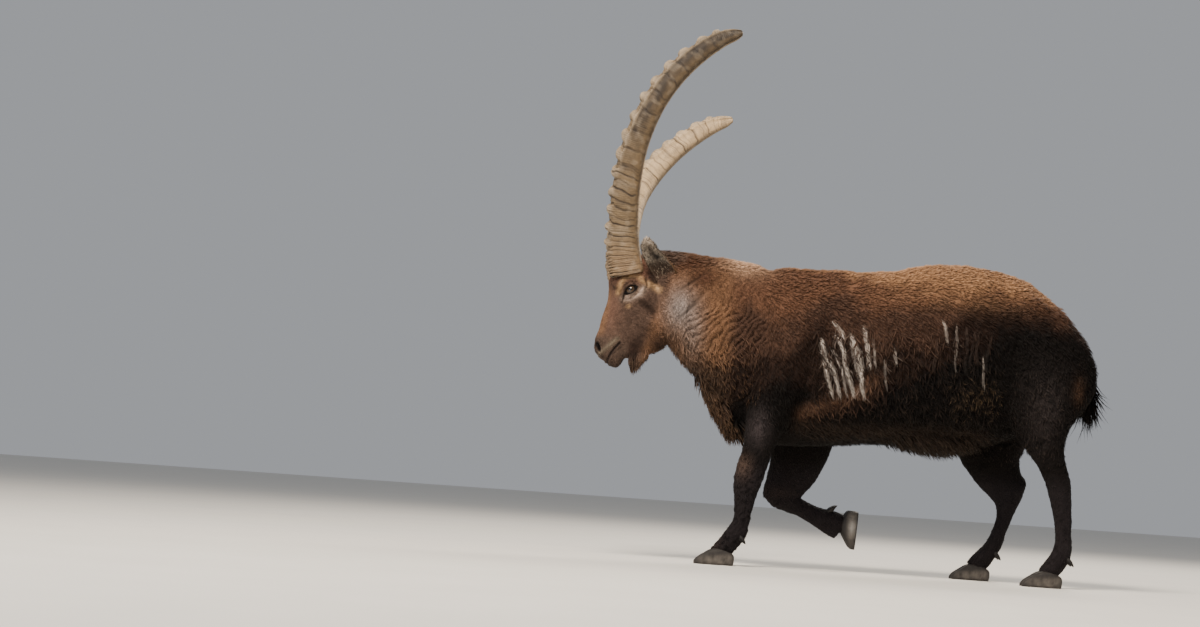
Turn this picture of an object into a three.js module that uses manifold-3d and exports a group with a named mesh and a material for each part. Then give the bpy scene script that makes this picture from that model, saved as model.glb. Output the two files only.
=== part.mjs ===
// Alpine ibex, an adult male in mid stride, at life size.
// Millimetres, +Z up, the head towards -X and the animal's left side towards -Y.
import * as THREE from 'three';
import { mergeVertices } from 'three/addons/utils/BufferGeometryUtils.js';
import Module from 'manifold-3d';

const wasm = await Module();
wasm.setup();

// Driving dimensions
const jointGap = 0.3;
const groundLevel = 0;
const headTilt = THREE.MathUtils.degToRad(12);
const headYaw = THREE.MathUtils.degToRad(-2.2);
const headPivotHeight = 740;
const neckTurnStart = -500;
const neckTurnEnd = -680;
const eyeRadius = 17;
const eyeCentre = [-791, 54, 739];
const lidThickness = 3.4;
const eyeOpening = { length: 34, height: 22, slant: THREE.MathUtils.degToRad(36) };
const mouthGap = 2.4;
const earGap = 0.5;
const hornRidgeDepth = 11;
const hornKnobs = { count: 14, top: 0.89, step: 0.054 };
const hornBaseRidges = { count: 8, top: 0.145, step: 0.018 };
const clawHalfWidth = 15.5;
const clawSpacing = 32;
const coatSeed = 11;

const coat = {
  beard: { count: 12, length: 50, width: 15, thick: 6 },
  chest: { count: 18, length: 78, width: 28, thick: 8 },
  brisket: { count: 12, length: 66, width: 28, thick: 8 },
  belly: { count: 24, length: 74, width: 30, thick: 7 },
  tail: { count: 11, length: 96, width: 20, thick: 6 },
};

const paint = {
  body: ['#6b4a33', 0.9],
  leg: ['#2b2019', 0.85],
  head: ['#7a5a45', 0.88],
  horn: ['#a38f6c', 0.6],
  hoof: ['#8f897e', 0.55],
  eye: ['#7d6a45', 0.2],
  tail: ['#241a14', 0.9],
};

// A section of a limb or the trunk: its back (or upper) edge, its front (or lower) edge, the
// middle's place across the body, half the width, where that width lies and how square it is.
function section(backX, backZ, frontX, frontZ, across, side, wide = 0.5, fat = 2) {
  return [backX, backZ, frontX, frontZ, across, side, wide, fat];
}

// Smooth values between the rows of a table, t running 0 to 1 over the whole table.
function blend(rows, t) {
  const place = Math.min(Math.max(t, 0), 1) * (rows.length - 1);
  const i = Math.min(Math.floor(place), rows.length - 2);
  const f = place - i;
  const [p0, p1, p2, p3] = [i - 1, i, i + 1, i + 2].map(
    (k) => rows[Math.min(Math.max(k, 0), rows.length - 1)]);
  return p1.map((v, c) => {
    const a = 2 * v;
    const b = p2[c] - p0[c];
    const d = 2 * p0[c] - 5 * v + 4 * p2[c] - p3[c];
    const e = -p0[c] + 3 * v - 3 * p2[c] + p3[c];
    return 0.5 * (a + b * f + d * f * f + e * f * f * f);
  });
}

// The point at an angle round a section, 0 at its back edge and a half turn at its front edge.
function onSection(row, angle, grow = 0) {
  const [backX, backZ, frontX, frontZ, across, side, wide, fat] = row;
  const depth = Math.hypot(backX - frontX, backZ - frontZ);
  const along = new THREE.Vector3((backX - frontX) / depth, 0, (backZ - frontZ) / depth);
  const c = Math.cos(angle);
  const s = Math.sin(angle);
  const reach = (c > 0 ? 1 - wide : wide) * depth + grow;
  const middle = new THREE.Vector3(frontX, across, frontZ).addScaledVector(along, wide * depth);
  middle.addScaledVector(along, reach * Math.sign(c) * Math.abs(c) ** (2 / fat));
  middle.y += (side + grow) * Math.sign(s) * Math.abs(s) ** (2 / fat);
  return middle;
}

function toSolid(geometry) {
  const bare = geometry.clone();
  bare.deleteAttribute('normal');
  bare.deleteAttribute('uv');
  const merged = mergeVertices(bare, 1e-3);
  const vertProperties = new Float32Array(merged.attributes.position.array);
  const triVerts = new Uint32Array(merged.index.array);
  const made = new wasm.Manifold(new wasm.Mesh({ numProp: 3, vertProperties, triVerts }));
  if (made.volume() > 0) return made;
  for (let i = 0; i < triVerts.length; i += 3) {
    [triVerts[i + 1], triVerts[i + 2]] = [triVerts[i + 2], triVerts[i + 1]];
  }
  return new wasm.Manifold(new wasm.Mesh({ numProp: 3, vertProperties, triVerts }));
}

// A closed solid through rings of points, each end drawn to a point of its own.
function skinRings(rings, startTip, endTip) {
  const sides = rings[0].length;
  const points = rings.flat();
  const faces = [];
  for (let r = 0; r + 1 < rings.length; r += 1) {
    for (let k = 0; k < sides; k += 1) {
      const a = r * sides + k;
      const b = r * sides + ((k + 1) % sides);
      faces.push(a, b, b + sides, a, b + sides, a + sides);
    }
  }
  const start = points.push(startTip) - 1;
  const end = points.push(endTip) - 1;
  const last = (rings.length - 1) * sides;
  for (let k = 0; k < sides; k += 1) {
    const next = (k + 1) % sides;
    faces.push(start, next, k, end, last + k, last + next);
  }
  const geometry = new THREE.BufferGeometry().setFromPoints(points);
  geometry.setIndex(faces);
  return toSolid(geometry);
}

function middleOf(ring) {
  return ring.reduce((sum, p) => sum.add(p), new THREE.Vector3()).divideScalar(ring.length);
}

function loft(rows, ringCount, sides, { grow = 0, bend = (p) => p } = {}) {
  const rings = [];
  for (let r = 0; r < ringCount; r += 1) {
    const row = blend(rows, r / (ringCount - 1));
    const ring = [];
    for (let k = 0; k < sides; k += 1) ring.push(bend(onSection(row, (2 * Math.PI * k) / sides, grow)));
    rings.push(ring);
  }
  return skinRings(rings, middleOf(rings[0]), middleOf(rings[ringCount - 1]));
}

function ellipsoid(centre, radii, turnY = 0, [around, down] = [16, 10]) {
  const ball = new THREE.SphereGeometry(1, around, down);
  ball.scale(...radii).rotateY(turnY).translate(...centre);
  return toSolid(ball);
}

// A flat outline in the side view, given depth across the body.
function sidePlate(outline, fromY, toY) {
  const shape = new THREE.Shape(outline.map(([x, z]) => new THREE.Vector2(x, z)));
  const plate = new THREE.ExtrudeGeometry(shape, { depth: toY - fromY, bevelEnabled: false });
  plate.rotateX(Math.PI / 2).translate(0, toY, 0);
  return toSolid(plate);
}

// Everything under a sloping face, between upright walls, down to below the ground.
function under({ at, slope, across }, pull = 0) {
  const depth = at[2] + 40;
  const block = new THREE.BoxGeometry(across[0] + 2 * pull, across[1] + 2 * pull, depth);
  block.translate(0, 0, -depth / 2);
  const place = block.attributes.position;
  for (let i = 0; i < place.count; i += 1) {
    if (place.getZ(i) > -1) place.setZ(i, slope[0] * place.getX(i) + slope[1] * place.getY(i) + pull);
  }
  block.translate(...at);
  return toSolid(block);
}

// A box whose face lies at a joint and which runs on into the part beyond it.
function beyond({ at, into, slope, across, reach }, pull = 0) {
  if (slope) return under({ at, slope, across }, pull);
  const axis = new THREE.Vector3(...into).normalize();
  const sideways = new THREE.Vector3(0, 1, 0).addScaledVector(axis, -axis.y).normalize();
  const third = new THREE.Vector3().crossVectors(sideways, axis);
  const box = new THREE.BoxGeometry(across[0], across[1], reach + pull);
  box.translate(0, 0, (reach + pull) / 2 - pull);
  box.applyMatrix4(new THREE.Matrix4().makeBasis(third, sideways, axis));
  box.translate(...at);
  return toSolid(box);
}

function join(solids) {
  return wasm.Manifold.union(solids);
}

function largest(solid) {
  return solid.decompose().sort((a, b) => b.volume() - a.volume())[0];
}

const nodes = new Map();

function keep(name, solid, look) {
  nodes.set(name, { solid: largest(solid), look });
}

// Parts the body at a joint and returns what is left of it.
function partOff(body, joint, name, look) {
  keep(name, body.intersect(beyond(joint)), look);
  return body.subtract(beyond(joint, jointGap));
}

// The head leans over to the animal's right and looks a little that way, and the neck takes
// up a share of that turn along its length.
function headTurn(share) {
  return new THREE.Matrix4()
    .makeTranslation(neckTurnEnd, 0, headPivotHeight)
    .multiply(new THREE.Matrix4().makeRotationZ(headYaw * share))
    .multiply(new THREE.Matrix4().makeRotationX(-headTilt * share))
    .multiply(new THREE.Matrix4().makeTranslation(-neckTurnEnd, 0, -headPivotHeight));
}

function lean(point) {
  return point.applyMatrix4(headTurn(1));
}

function neckTurn(point) {
  return point.applyMatrix4(headTurn(THREE.MathUtils.smoothstep(-point.x, -neckTurnStart, -neckTurnEnd)));
}

function leanSolid(solid) {
  return solid.transform(headTurn(1).elements);
}

const torsoRows = [
  section(-512, 530, -512, 450, 0, 40, 0.5),
  section(-490, 650, -488, 402, 0, 80, 0.5),
  section(-440, 812, -440, 358, 0, 112, 0.48),
  section(-370, 848, -370, 342, 0, 138, 0.46),
  section(-280, 852, -280, 340, 0, 156, 0.45),
  section(-170, 854, -170, 352, 0, 172, 0.44, 2.1),
  section(-60, 862, -60, 366, 0, 183, 0.44, 2.15),
  section(50, 885, 50, 370, 0, 184, 0.44, 2.15),
  section(150, 892, 150, 373, 0, 175, 0.45, 2.1),
  section(250, 880, 250, 386, 0, 160, 0.47),
  section(330, 858, 330, 412, 0, 148, 0.5),
  section(395, 815, 395, 460, 0, 130, 0.52),
  section(440, 765, 440, 520, 0, 106, 0.52),
  section(472, 712, 472, 590, 0, 70, 0.5),
  section(486, 678, 486, 628, 0, 33, 0.5),
];

const neckRows = [
  section(-290, 800, -280, 420, 0, 118),
  section(-430, 849, -462, 362, 0, 118, 0.48),
  section(-517, 865, -532, 424, 0, 108, 0.5),
  section(-575, 868, -573, 494, 0, 96, 0.52),
  section(-632, 876, -630, 548, 0, 84, 0.52),
  section(-690, 880, -682, 606, 0, 73, 0.52),
  section(-735, 868, -722, 650, 0, 58, 0.52),
];

// Upper edges run down the nose line and lower edges run back along the jaw.
const headRows = [
  section(-879, 565, -852, 543, 0, 11, 0.5, 2.2),
  section(-885, 579, -834, 529, 0, 22, 0.5, 2.3),
  section(-886, 597, -815, 527, 0, 28, 0.52, 2.3),
  section(-882, 616, -799, 545, 0, 31, 0.52, 2.4),
  section(-876, 636, -785, 552, 0, 31, 0.54, 2.4),
  section(-872, 662, -763, 559, 0, 32, 0.56, 2.4),
  section(-865, 690, -735, 567, 0, 36, 0.56, 2.3),
  section(-858, 721, -707, 582, 0, 43, 0.56, 2.2),
  section(-857, 752, -684, 602, 0, 53, 0.58, 2.1),
  section(-858, 781, -666, 634, 0, 62, 0.6),
  section(-846, 808, -656, 668, 0, 64, 0.6),
  section(-818, 836, -652, 710, 0, 61, 0.6),
  section(-778, 862, -652, 752, 0, 56, 0.55),
  section(-728, 880, -655, 792, 0, 48, 0.5),
  section(-692, 880, -660, 822, 0, 30, 0.5),
];

const foreLeftRows = [
  section(-250, 762, -378, 775, -60, 54),
  section(-236, 645, -420, 645, -82, 74),
  section(-262, 522, -436, 534, -97, 68),
  section(-306, 432, -446, 434, -101, 53),
  section(-345, 374, -452, 366, -100, 42),
  section(-364, 327, -457, 320, -99, 36),
  section(-379, 282, -468, 282, -98, 33),
  section(-390, 236, -474, 240, -98, 32, 0.5, 2.2),
  section(-403, 200, -473, 206, -98, 27, 0.5, 2.2),
  section(-413, 160, -469, 166, -98, 22, 0.5, 2.2),
  section(-419, 120, -471, 126, -98, 22, 0.5, 2.2),
  section(-424, 88, -488, 97, -98, 28, 0.5, 2.2),
  section(-444, 54, -508, 70, -98, 28),
  section(-468, 24, -530, 42, -98, 29),
];

const foreRightRows = [
  section(-190, 752, -330, 765, 60, 54),
  section(-166, 645, -370, 645, 82, 74),
  section(-160, 532, -384, 532, 97, 68),
  section(-162, 432, -374, 434, 104, 56),
  section(-173, 372, -362, 366, 105, 46),
  section(-187, 325, -358, 318, 104, 39),
  section(-208, 277, -362, 281, 103, 34),
  section(-232, 236, -371, 240, 102, 32),
  section(-262, 204, -376, 212, 102, 29),
  section(-302, 182, -370, 191, 102, 20),
];

const foreRightCannonRows = [
  section(-322, 228, -374, 198, 102, 20),
  section(-286, 215, -346, 170, 102, 28),
  section(-252, 196, -312, 159, 103, 24, 0.5, 2.2),
  section(-217, 182, -264, 144, 104, 21, 0.5, 2.2),
  section(-182, 174, -222, 122, 105, 27, 0.5, 2.2),
  section(-150, 168, -190, 103, 106, 28),
  section(-120, 156, -160, 88, 106, 28),
];

const hindLeftRows = [
  section(420, 780, 250, 800, -58, 48),
  section(484, 702, 230, 700, -80, 66),
  section(520, 622, 236, 602, -93, 77),
  section(518, 552, 255, 520, -99, 76),
  section(486, 492, 286, 450, -101, 66),
  section(455, 445, 318, 402, -101, 54),
  section(446, 402, 348, 362, -100, 42),
  section(446, 367, 371, 331, -99, 34),
  section(455, 336, 387, 301, -99, 29),
  section(466, 300, 399, 272, -99, 29, 0.5, 2.2),
  section(471, 255, 409, 240, -99, 24, 0.5, 2.2),
  section(475, 200, 422, 190, -99, 21, 0.5, 2.2),
  section(477, 142, 429, 138, -99, 21, 0.5, 2.2),
  section(480, 98, 424, 104, -99, 27, 0.5, 2.2),
  section(464, 58, 404, 74, -99, 28),
  section(442, 28, 384, 46, -99, 29),
];

const hindRightRows = [
  section(425, 780, 230, 800, 58, 48),
  section(470, 702, 192, 692, 80, 66),
  section(472, 612, 166, 590, 95, 77),
  section(440, 520, 156, 490, 103, 74),
  section(405, 442, 162, 410, 107, 62),
  section(379, 390, 184, 352, 108, 50),
  section(366, 350, 212, 310, 109, 40),
  section(370, 318, 246, 270, 109, 33),
  section(387, 288, 280, 240, 109, 29),
  section(378, 250, 299, 216, 109, 28, 0.5, 2.2),
  section(359, 205, 303, 186, 109, 23, 0.5, 2.2),
  section(340, 155, 290, 140, 109, 21, 0.5, 2.2),
  section(326, 104, 270, 102, 109, 27, 0.5, 2.2),
  section(302, 58, 242, 74, 109, 28),
  section(280, 28, 222, 48, 109, 29),
];

const tailRows = [
  section(450, 745, 440, 700, 0, 24),
  section(482, 708, 458, 672, 0, 25),
  section(508, 662, 480, 636, 0, 22),
  section(525, 612, 497, 600, 0, 19),
  section(533, 568, 507, 564, 0, 15),
  section(532, 545, 516, 543, 0, 7),
];

// Seen from the side, with the row's two edges the ear's rear and front rims.
const earRows = [
  section(-677, 751, -708, 735, 46, 15),
  section(-666, 778, -723, 766, 62, 20),
  section(-669, 804, -740, 790, 75, 20),
  section(-692, 828, -757, 816, 87, 16),
  section(-717, 850, -770, 839, 96, 13),
  section(-733, 870, -773, 860, 102, 10),
  section(-747, 882, -766, 876, 105, 5),
];

// Middle of the horn from base to tip as x, across, z, with its depth and width there.
const hornRows = [
  [-807, 41, 788, 102, 68],
  [-822, 56, 842, 102, 68],
  [-830, 90, 918, 96, 66],
  [-827, 158, 1024, 89, 63],
  [-808, 224, 1126, 84, 59],
  [-763, 279, 1228, 78, 55],
  [-693, 308, 1324, 72, 50],
  [-597, 322, 1404, 58, 41],
  [-529, 323, 1431, 35, 27],
];

// Distance round a claw from heel to toe, then its top, underside and half width.
const clawRows = [
  section(-3, 26, -3, 8, 0, 5),
  section(4, 34, 4, -8, 0, clawHalfWidth - 3, 0.5, 2.4),
  section(30, 45, 30, -14, 0, clawHalfWidth, 0.5, 2.6),
  section(58, 44, 58, -14, 0, clawHalfWidth, 0.5, 2.6),
  section(82, 30, 82, -12, 0, clawHalfWidth - 1.5, 0.5, 2.6),
  section(99, 18, 99, -9, 0, clawHalfWidth - 5, 0.5, 2.4),
  section(107, 8, 107, -4, 0, 5),
];

// Small repeatable random numbers between 0 and 1.
function seeded(seed) {
  let state = seed >>> 0;
  return () => {
    state = (state + 0x6d2b79f5) >>> 0;
    let t = state;
    t = Math.imul(t ^ (t >>> 15), t | 1);
    t ^= t + Math.imul(t ^ (t >>> 7), t | 61);
    return ((t ^ (t >>> 14)) >>> 0) / 4294967296;
  };
}

// A flat lock of hair: four-sided, widest near its root, bending as it runs out to a point.
function lock({ root, normal, out, lie, length, width, thick, sink, lift, sway }) {
  const run = lie.clone().addScaledVector(out, -lie.dot(out)).normalize();
  const wide = new THREE.Vector3().crossVectors(out, run);
  const centre = (s) => root.clone()
    .addScaledVector(normal, -sink * (1 - s) ** 3)
    .addScaledVector(run, length * s)
    .addScaledVector(out, lift * s ** 1.4)
    .addScaledVector(wide, sway * s * s);
  const rings = [0, 0.36, 0.74].map((s) => {
    const half = 0.5 * width * (0.8 + 0.9 * s - 1.5 * s * s);
    const flat = 0.5 * thick * (1 - 0.75 * s);
    const at = centre(s);
    return [[half, 0], [0, flat], [-half, 0], [0, -flat]].map(
      ([w, h]) => at.clone().addScaledVector(wide, w).addScaledVector(out, h));
  });
  return skinRings(rings, middleOf(rings[0]), centre(1));
}

// Locks scattered over part of a lofted surface, left and right in turn, with their roots sunk
// into it. A lock that clings lies flat on the skin, and one that does not hangs edge to edge
// with its neighbours, its flat side turned outwards.
function locksOn(rows, zone, sizes, seed, bend = (p) => p) {
  const random = seeded(seed);
  const made = [];
  for (let i = 0; i < sizes.count; i += 1) {
    const t = zone.from + (zone.to - zone.from) * ((i + random()) / sizes.count);
    const side = i % 2 === 0 ? 1 : -1;
    const angle = zone.angle + side * (zone.inner + (zone.outer - zone.inner) * ((i * 0.618) % 1));
    const point = (dt, da) => bend(onSection(blend(rows, t + dt), angle + da));
    const root = point(0, 0);
    const along = point(0.01, 0).sub(point(-0.01, 0));
    const around = point(0, 0.05).sub(point(0, -0.05));
    const normal = new THREE.Vector3().crossVectors(along, around).normalize();
    const centre = bend(middleOf([onSection(blend(rows, t), 0), onSection(blend(rows, t), Math.PI)]));
    if (normal.dot(root.clone().sub(centre)) < 0) normal.negate();
    const outwards = new THREE.Vector3(0, Math.sign(root.y - centre.y), 0);
    made.push(lock({
      root,
      normal,
      out: normal.clone().multiplyScalar(zone.cling).addScaledVector(outwards, 1 - zone.cling).normalize(),
      lie: new THREE.Vector3(...zone.lie),
      length: sizes.length * (0.75 + 0.45 * random()),
      width: sizes.width * (0.85 + 0.3 * random()),
      thick: sizes.thick,
      sink: zone.sink,
      lift: zone.lift * (0.6 + 0.8 * random()),
      sway: zone.sway * (random() - 0.5),
    }));
  }
  return made;
}

// Places along the horn, each with how far its front stands out: 1 on a crest, 0 in a hollow.
function hornRingPlaces() {
  const places = [[0, 1], [0.012, 0.9]];
  for (let k = hornBaseRidges.count - 1; k >= 0; k -= 1) {
    const crest = hornBaseRidges.top - k * hornBaseRidges.step;
    places.push([crest - 0.004, 0.75], [crest + 0.004, 0.5]);
  }
  for (let k = hornKnobs.count - 1; k >= 0; k -= 1) {
    const crest = hornKnobs.top - k * hornKnobs.step;
    for (const [shift, knob] of [[-0.42, 0], [-0.12, 0.95], [0.14, 0.85]]) {
      places.push([crest + hornKnobs.step * shift, knob]);
    }
  }
  places.push([0.92, 0.2], [0.96, 0.3], [0.99, 0.2]);
  return places;
}

const hornPath = new THREE.CatmullRomCurve3(
  hornRows.map(([x, y, z]) => new THREE.Vector3(x, y, z)), false, 'centripetal');

// A ring round the horn: flat and broad in front, drawn in to a narrow back.
function hornRing([t, knob], grow) {
  const row = blend(hornRows, t);
  const at = hornPath.getPoint(t);
  const along = hornPath.getTangent(t);
  const front = new THREE.Vector3(-1, -0.12, 0.35);
  front.addScaledVector(along, -front.dot(along)).normalize();
  const sideways = new THREE.Vector3().crossVectors(along, front);
  const close = t > 0.95 ? 1 - ((t - 0.95) / 0.05) ** 2 * 0.45 : 1;
  const depth = row[3] * close;
  const width = row[4] * close;
  const hollow = hornRidgeDepth * (1 - knob) * Math.min(1, depth / 70);
  const half = [[1, 0.52], [0.8, 0.94], [0.45, 1], [0.16, 0.8], [0.01, 0.36]];
  const around = [...half, ...half.map(([f, s]) => [f, -s]).reverse()];
  return around.map(([f, s]) => {
    const forward = (f - 0.5) * depth - hollow * f ** 3 + grow * Math.sign(f - 0.3);
    const out = (0.5 * width - hollow * 0.22) * s + grow * Math.sign(s);
    return at.clone().addScaledVector(front, forward).addScaledVector(sideways, out);
  });
}

function hornSolid() {
  const rings = hornRingPlaces().map((place) => hornRing(place, 0));
  const tip = hornPath.getPoint(1).addScaledVector(hornPath.getTangent(1), 4);
  return skinRings(rings, middleOf(rings[0]), tip);
}

// The seat that the horn's base fills in the skull, without ridges, and deeper by the gap.
function hornSeat() {
  const rings = [0, 0.024, 0.048, 0.072, 0.098].map((t) => hornRing([t, 1], jointGap));
  const back = hornPath.getTangent(0).multiplyScalar(-jointGap);
  rings[0].forEach((p) => p.add(back));
  return skinRings(rings, middleOf(rings[0]), middleOf(rings[rings.length - 1]));
}

function mirror(solid) {
  return solid.mirror([0, 1, 0]);
}

function earSolid(grow = 0) {
  return loft(earRows, 8, 10, { grow });
}

function earCup() {
  const rim = 5;
  const inner = earRows.slice(1, 6).map(([backX, backZ, frontX, frontZ, across, side]) => {
    const depth = Math.hypot(backX - frontX, backZ - frontZ);
    const [ux, uz] = [(backX - frontX) / depth, (backZ - frontZ) / depth];
    return section(backX - ux * rim, backZ - uz * rim, frontX + ux * rim, frontZ + uz * rim,
      across + side * 1.05, side * 1.4);
  });
  return loft(inner, 5, 8);
}

function almond({ length, height, slant }, fromY, toY, side) {
  const outline = [];
  const points = 12;
  for (let k = 0; k < points; k += 1) {
    const angle = (2 * Math.PI * k) / points;
    const u = 0.5 * length * Math.cos(angle);
    const v = 0.5 * height * Math.sin(angle) * (1 - 0.25 * Math.cos(angle) ** 4);
    outline.push([
      eyeCentre[0] + u * Math.cos(slant) - v * Math.sin(slant),
      eyeCentre[2] + u * Math.sin(slant) + v * Math.cos(slant),
    ]);
  }
  return side > 0 ? sidePlate(outline, fromY, toY) : sidePlate(outline, -toY, -fromY);
}

function headSolid() {
  const flesh = [loft(headRows, 23, 22)];
  const cuts = [];
  for (const side of [1, -1]) {
    const eye = [eyeCentre[0], side * eyeCentre[1], eyeCentre[2]];
    flesh.push(ellipsoid([-795, side * 47, 744], [36, 22, 31], 0.5, [12, 8])); // the eye's socket
    flesh.push(ellipsoid(eye, Array(3).fill(eyeRadius + lidThickness), 0, [12, 8]));
    flesh.push(ellipsoid([-866, side * 14, 588], [16, 16, 24], 0.35, [10, 7])); // its side of the nose
    cuts.push(almond(eyeOpening, eyeCentre[1] + 5, eyeCentre[1] + 30, side));
    cuts.push(ellipsoid(eye, Array(3).fill(eyeRadius + jointGap), 0, [12, 8]));
    cuts.push(ellipsoid([-874, side * 22, 582], [5, 11, 16], 0.32, [8, 6])); // its nostril
    cuts.push(side > 0 ? hornSeat() : mirror(hornSeat()));
    cuts.push(side > 0 ? earSolid(earGap) : mirror(earSolid(earGap)));
  }
  const mouthLine = [[-815, 602], [-831, 567], [-846, 538], [-856, 515]];
  const mouth = [...mouthLine, ...mouthLine.map(([x, z]) => [x + mouthGap, z]).reverse().slice(0, 3)];
  cuts.push(sidePlate(mouth, -60, 60));
  return { flesh: join(flesh), cuts: join(cuts) };
}

const joints = {
  head: { at: [-668, 0, 745], into: [-0.993, 0, 0.116], across: [500, 420], reach: 330 },
  neck: { at: [-492, 0, 665], into: [-0.945, 0, 0.327], across: [560, 420], reach: 400 },
  foreLeft: { at: [-400, -100, 376], slope: [0.05, -0.7], across: [220, 170] },
  foreRight: { at: [-250, 104, 378], slope: [0.05, 0.7], across: [380, 170] },
  carpusLeft: { at: [-432, -98, 238], into: [0, 0, -1], across: [400, 300], reach: 400 },
  carpusRight: { at: [-318, 102, 206], into: [0.26, 0, -0.96], across: [700, 300], reach: 500 },
  thighLeft: { at: [415, -115, 500], slope: [0.42, -0.7], across: [290, 160] },
  thighRight: { at: [300, 118, 446], slope: [0.36, 0.66], across: [330, 160] },
  hockLeft: { at: [442, -99, 292], into: [0.2, 0, -0.98], across: [500, 300], reach: 500 },
  hockRight: { at: [338, 109, 236], into: [0.41, 0, -0.91], across: [500, 300], reach: 500 },
  tail: { at: [486, 0, 675], into: [0.986, 0, -0.168], across: [300, 120], reach: 200 },
};

// Each foot: its name, its heel, how far it is turned, and how far forward its dewclaws lie.
const feet = [
  { name: 'fore_left', heel: [-462, -98, 0], turn: 0, dewclaw: 0 },
  { name: 'fore_right', heel: [-96, 106, 170], turn: -Math.PI / 2 + 0.06, dewclaw: 20 },
  { name: 'hind_left', heel: [449, -99, 0], turn: 0, dewclaw: 0 },
  { name: 'hind_right', heel: [287, 109, 0], turn: 0, dewclaw: 0 },
];

function footPlace({ heel, turn }) {
  const place = new THREE.Matrix4().makeTranslation(...heel);
  place.multiply(new THREE.Matrix4().makeRotationY(turn));
  place.multiply(new THREE.Matrix4().makeRotationZ(Math.PI));
  return place;
}

function clawSolid(side, grow = 0) {
  const claw = loft(clawRows, 7, 8, { grow });
  const floor = new THREE.BoxGeometry(300, 100, 60).translate(50, 0, -30 - grow);
  return claw.subtract(toSolid(floor)).translate([0, (side * clawSpacing) / 2, 0]);
}

function dewclawSolid(side, reach, grow = 0) {
  const rows = [
    section(-12, 92, -18, 72, side * 14, 7),
    section(-21, 90, -27, 68, side * 15.5, 9),
    section(-30, 81, -35, 63, side * 16.5, 8),
    section(-36, 71, -38, 62, side * 16.5, 4.5),
  ];
  return loft(rows, 4, 6, { grow }).translate([reach, 0, 0]);
}

const hoofParts = [];
for (const foot of feet) {
  const place = footPlace(foot).elements;
  for (const side of [1, -1]) {
    const label = (side > 0) === foot.name.endsWith('left') ? 'outer' : 'inner';
    hoofParts.push({
      name: `hoof_${foot.name}_${label}`,
      solid: clawSolid(side).transform(place),
      grown: clawSolid(side, jointGap).transform(place),
    });
    hoofParts.push({
      name: `dewclaw_${foot.name}_${label}`,
      solid: dewclawSolid(side, foot.dewclaw).transform(place),
      grown: dewclawSolid(side, foot.dewclaw, jointGap).transform(place),
    });
  }
}

const head = headSolid();
const headSheath = leanSolid(head.flesh);
const torsoForm = (grow) => loft(torsoRows, 20, 24, { grow });
const hindLeftForm = (grow) => loft(hindLeftRows, 24, 12, { grow });
const hindRightForm = (grow) => loft(hindRightRows, 23, 12, { grow });
const trunk = join([
  torsoForm(0),
  loft(neckRows, 12, 22, { bend: neckTurn }),
  headSheath,
  loft(foreLeftRows, 20, 12),
  loft(foreRightRows, 17, 12),
  loft(foreRightCannonRows, 10, 10),
  hindLeftForm(0),
  hindRightForm(0),
]);
const tailDock = (grow) => loft(tailRows, 9, 10, { grow }).intersect(beyond(joints.tail, grow));

let body = trunk.subtract(leanSolid(head.cuts)).subtract(join(hoofParts.map((p) => p.grown)));
body = body.subtract(toSolid(new THREE.BoxGeometry(4000, 1000, 100).translate(0, 0, groundLevel - 49)));
body = partOff(body, joints.head, 'head', paint.head);
body = partOff(body, joints.neck, 'neck', paint.body);
keep('tail', tailDock(0), paint.tail);
body = body.subtract(tailDock(jointGap));

function limb(from, cuts) {
  let rest = from;
  const [first, ...others] = cuts;
  let piece = largest(rest.intersect(beyond(first.joint)));
  rest = rest.subtract(beyond(first.joint, jointGap));
  let name = first.name;
  for (const cut of others) {
    keep(name, piece.subtract(beyond(cut.joint, jointGap)), paint.leg);
    piece = largest(piece.intersect(beyond(cut.joint)));
    name = cut.name;
  }
  keep(name, piece, paint.leg);
  return rest;
}

const limbs = [
  [joints.foreLeft, 'forearm_left', joints.carpusLeft, 'cannon_fore_left'],
  [joints.foreRight, 'forearm_right', joints.carpusRight, 'cannon_fore_right'],
  [joints.thighLeft, 'thigh_left', joints.hockLeft, 'cannon_hind_left'],
  [joints.thighRight, 'thigh_right', joints.hockRight, 'cannon_hind_right'],
];
for (const [upper, upperName, lower, lowerName] of limbs) {
  body = limb(body, [{ joint: upper, name: upperName }, { joint: lower, name: lowerName }]);
}
keep('torso', body, paint.body);

for (const [label, side] of [['right', 1], ['left', -1]]) {
  const set = (solid) => leanSolid(side > 0 ? solid : mirror(solid));
  keep(`horn_${label}`, set(hornSolid()), paint.horn);
  keep(`ear_${label}`, set(earSolid().subtract(earCup())), paint.head);
  const eye = ellipsoid([eyeCentre[0], eyeCentre[1], eyeCentre[2]], Array(3).fill(eyeRadius), 0, [12, 8]);
  keep(`eye_${label}`, set(eye), paint.eye);
}
for (const part of hoofParts) keep(part.name, part.solid, paint.hoof);

// Long hair, fused to the part that it grows from.
function addCoat(name, locks) {
  const node = nodes.get(name);
  node.solid = largest(join([node.solid, ...locks]));
}

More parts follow.
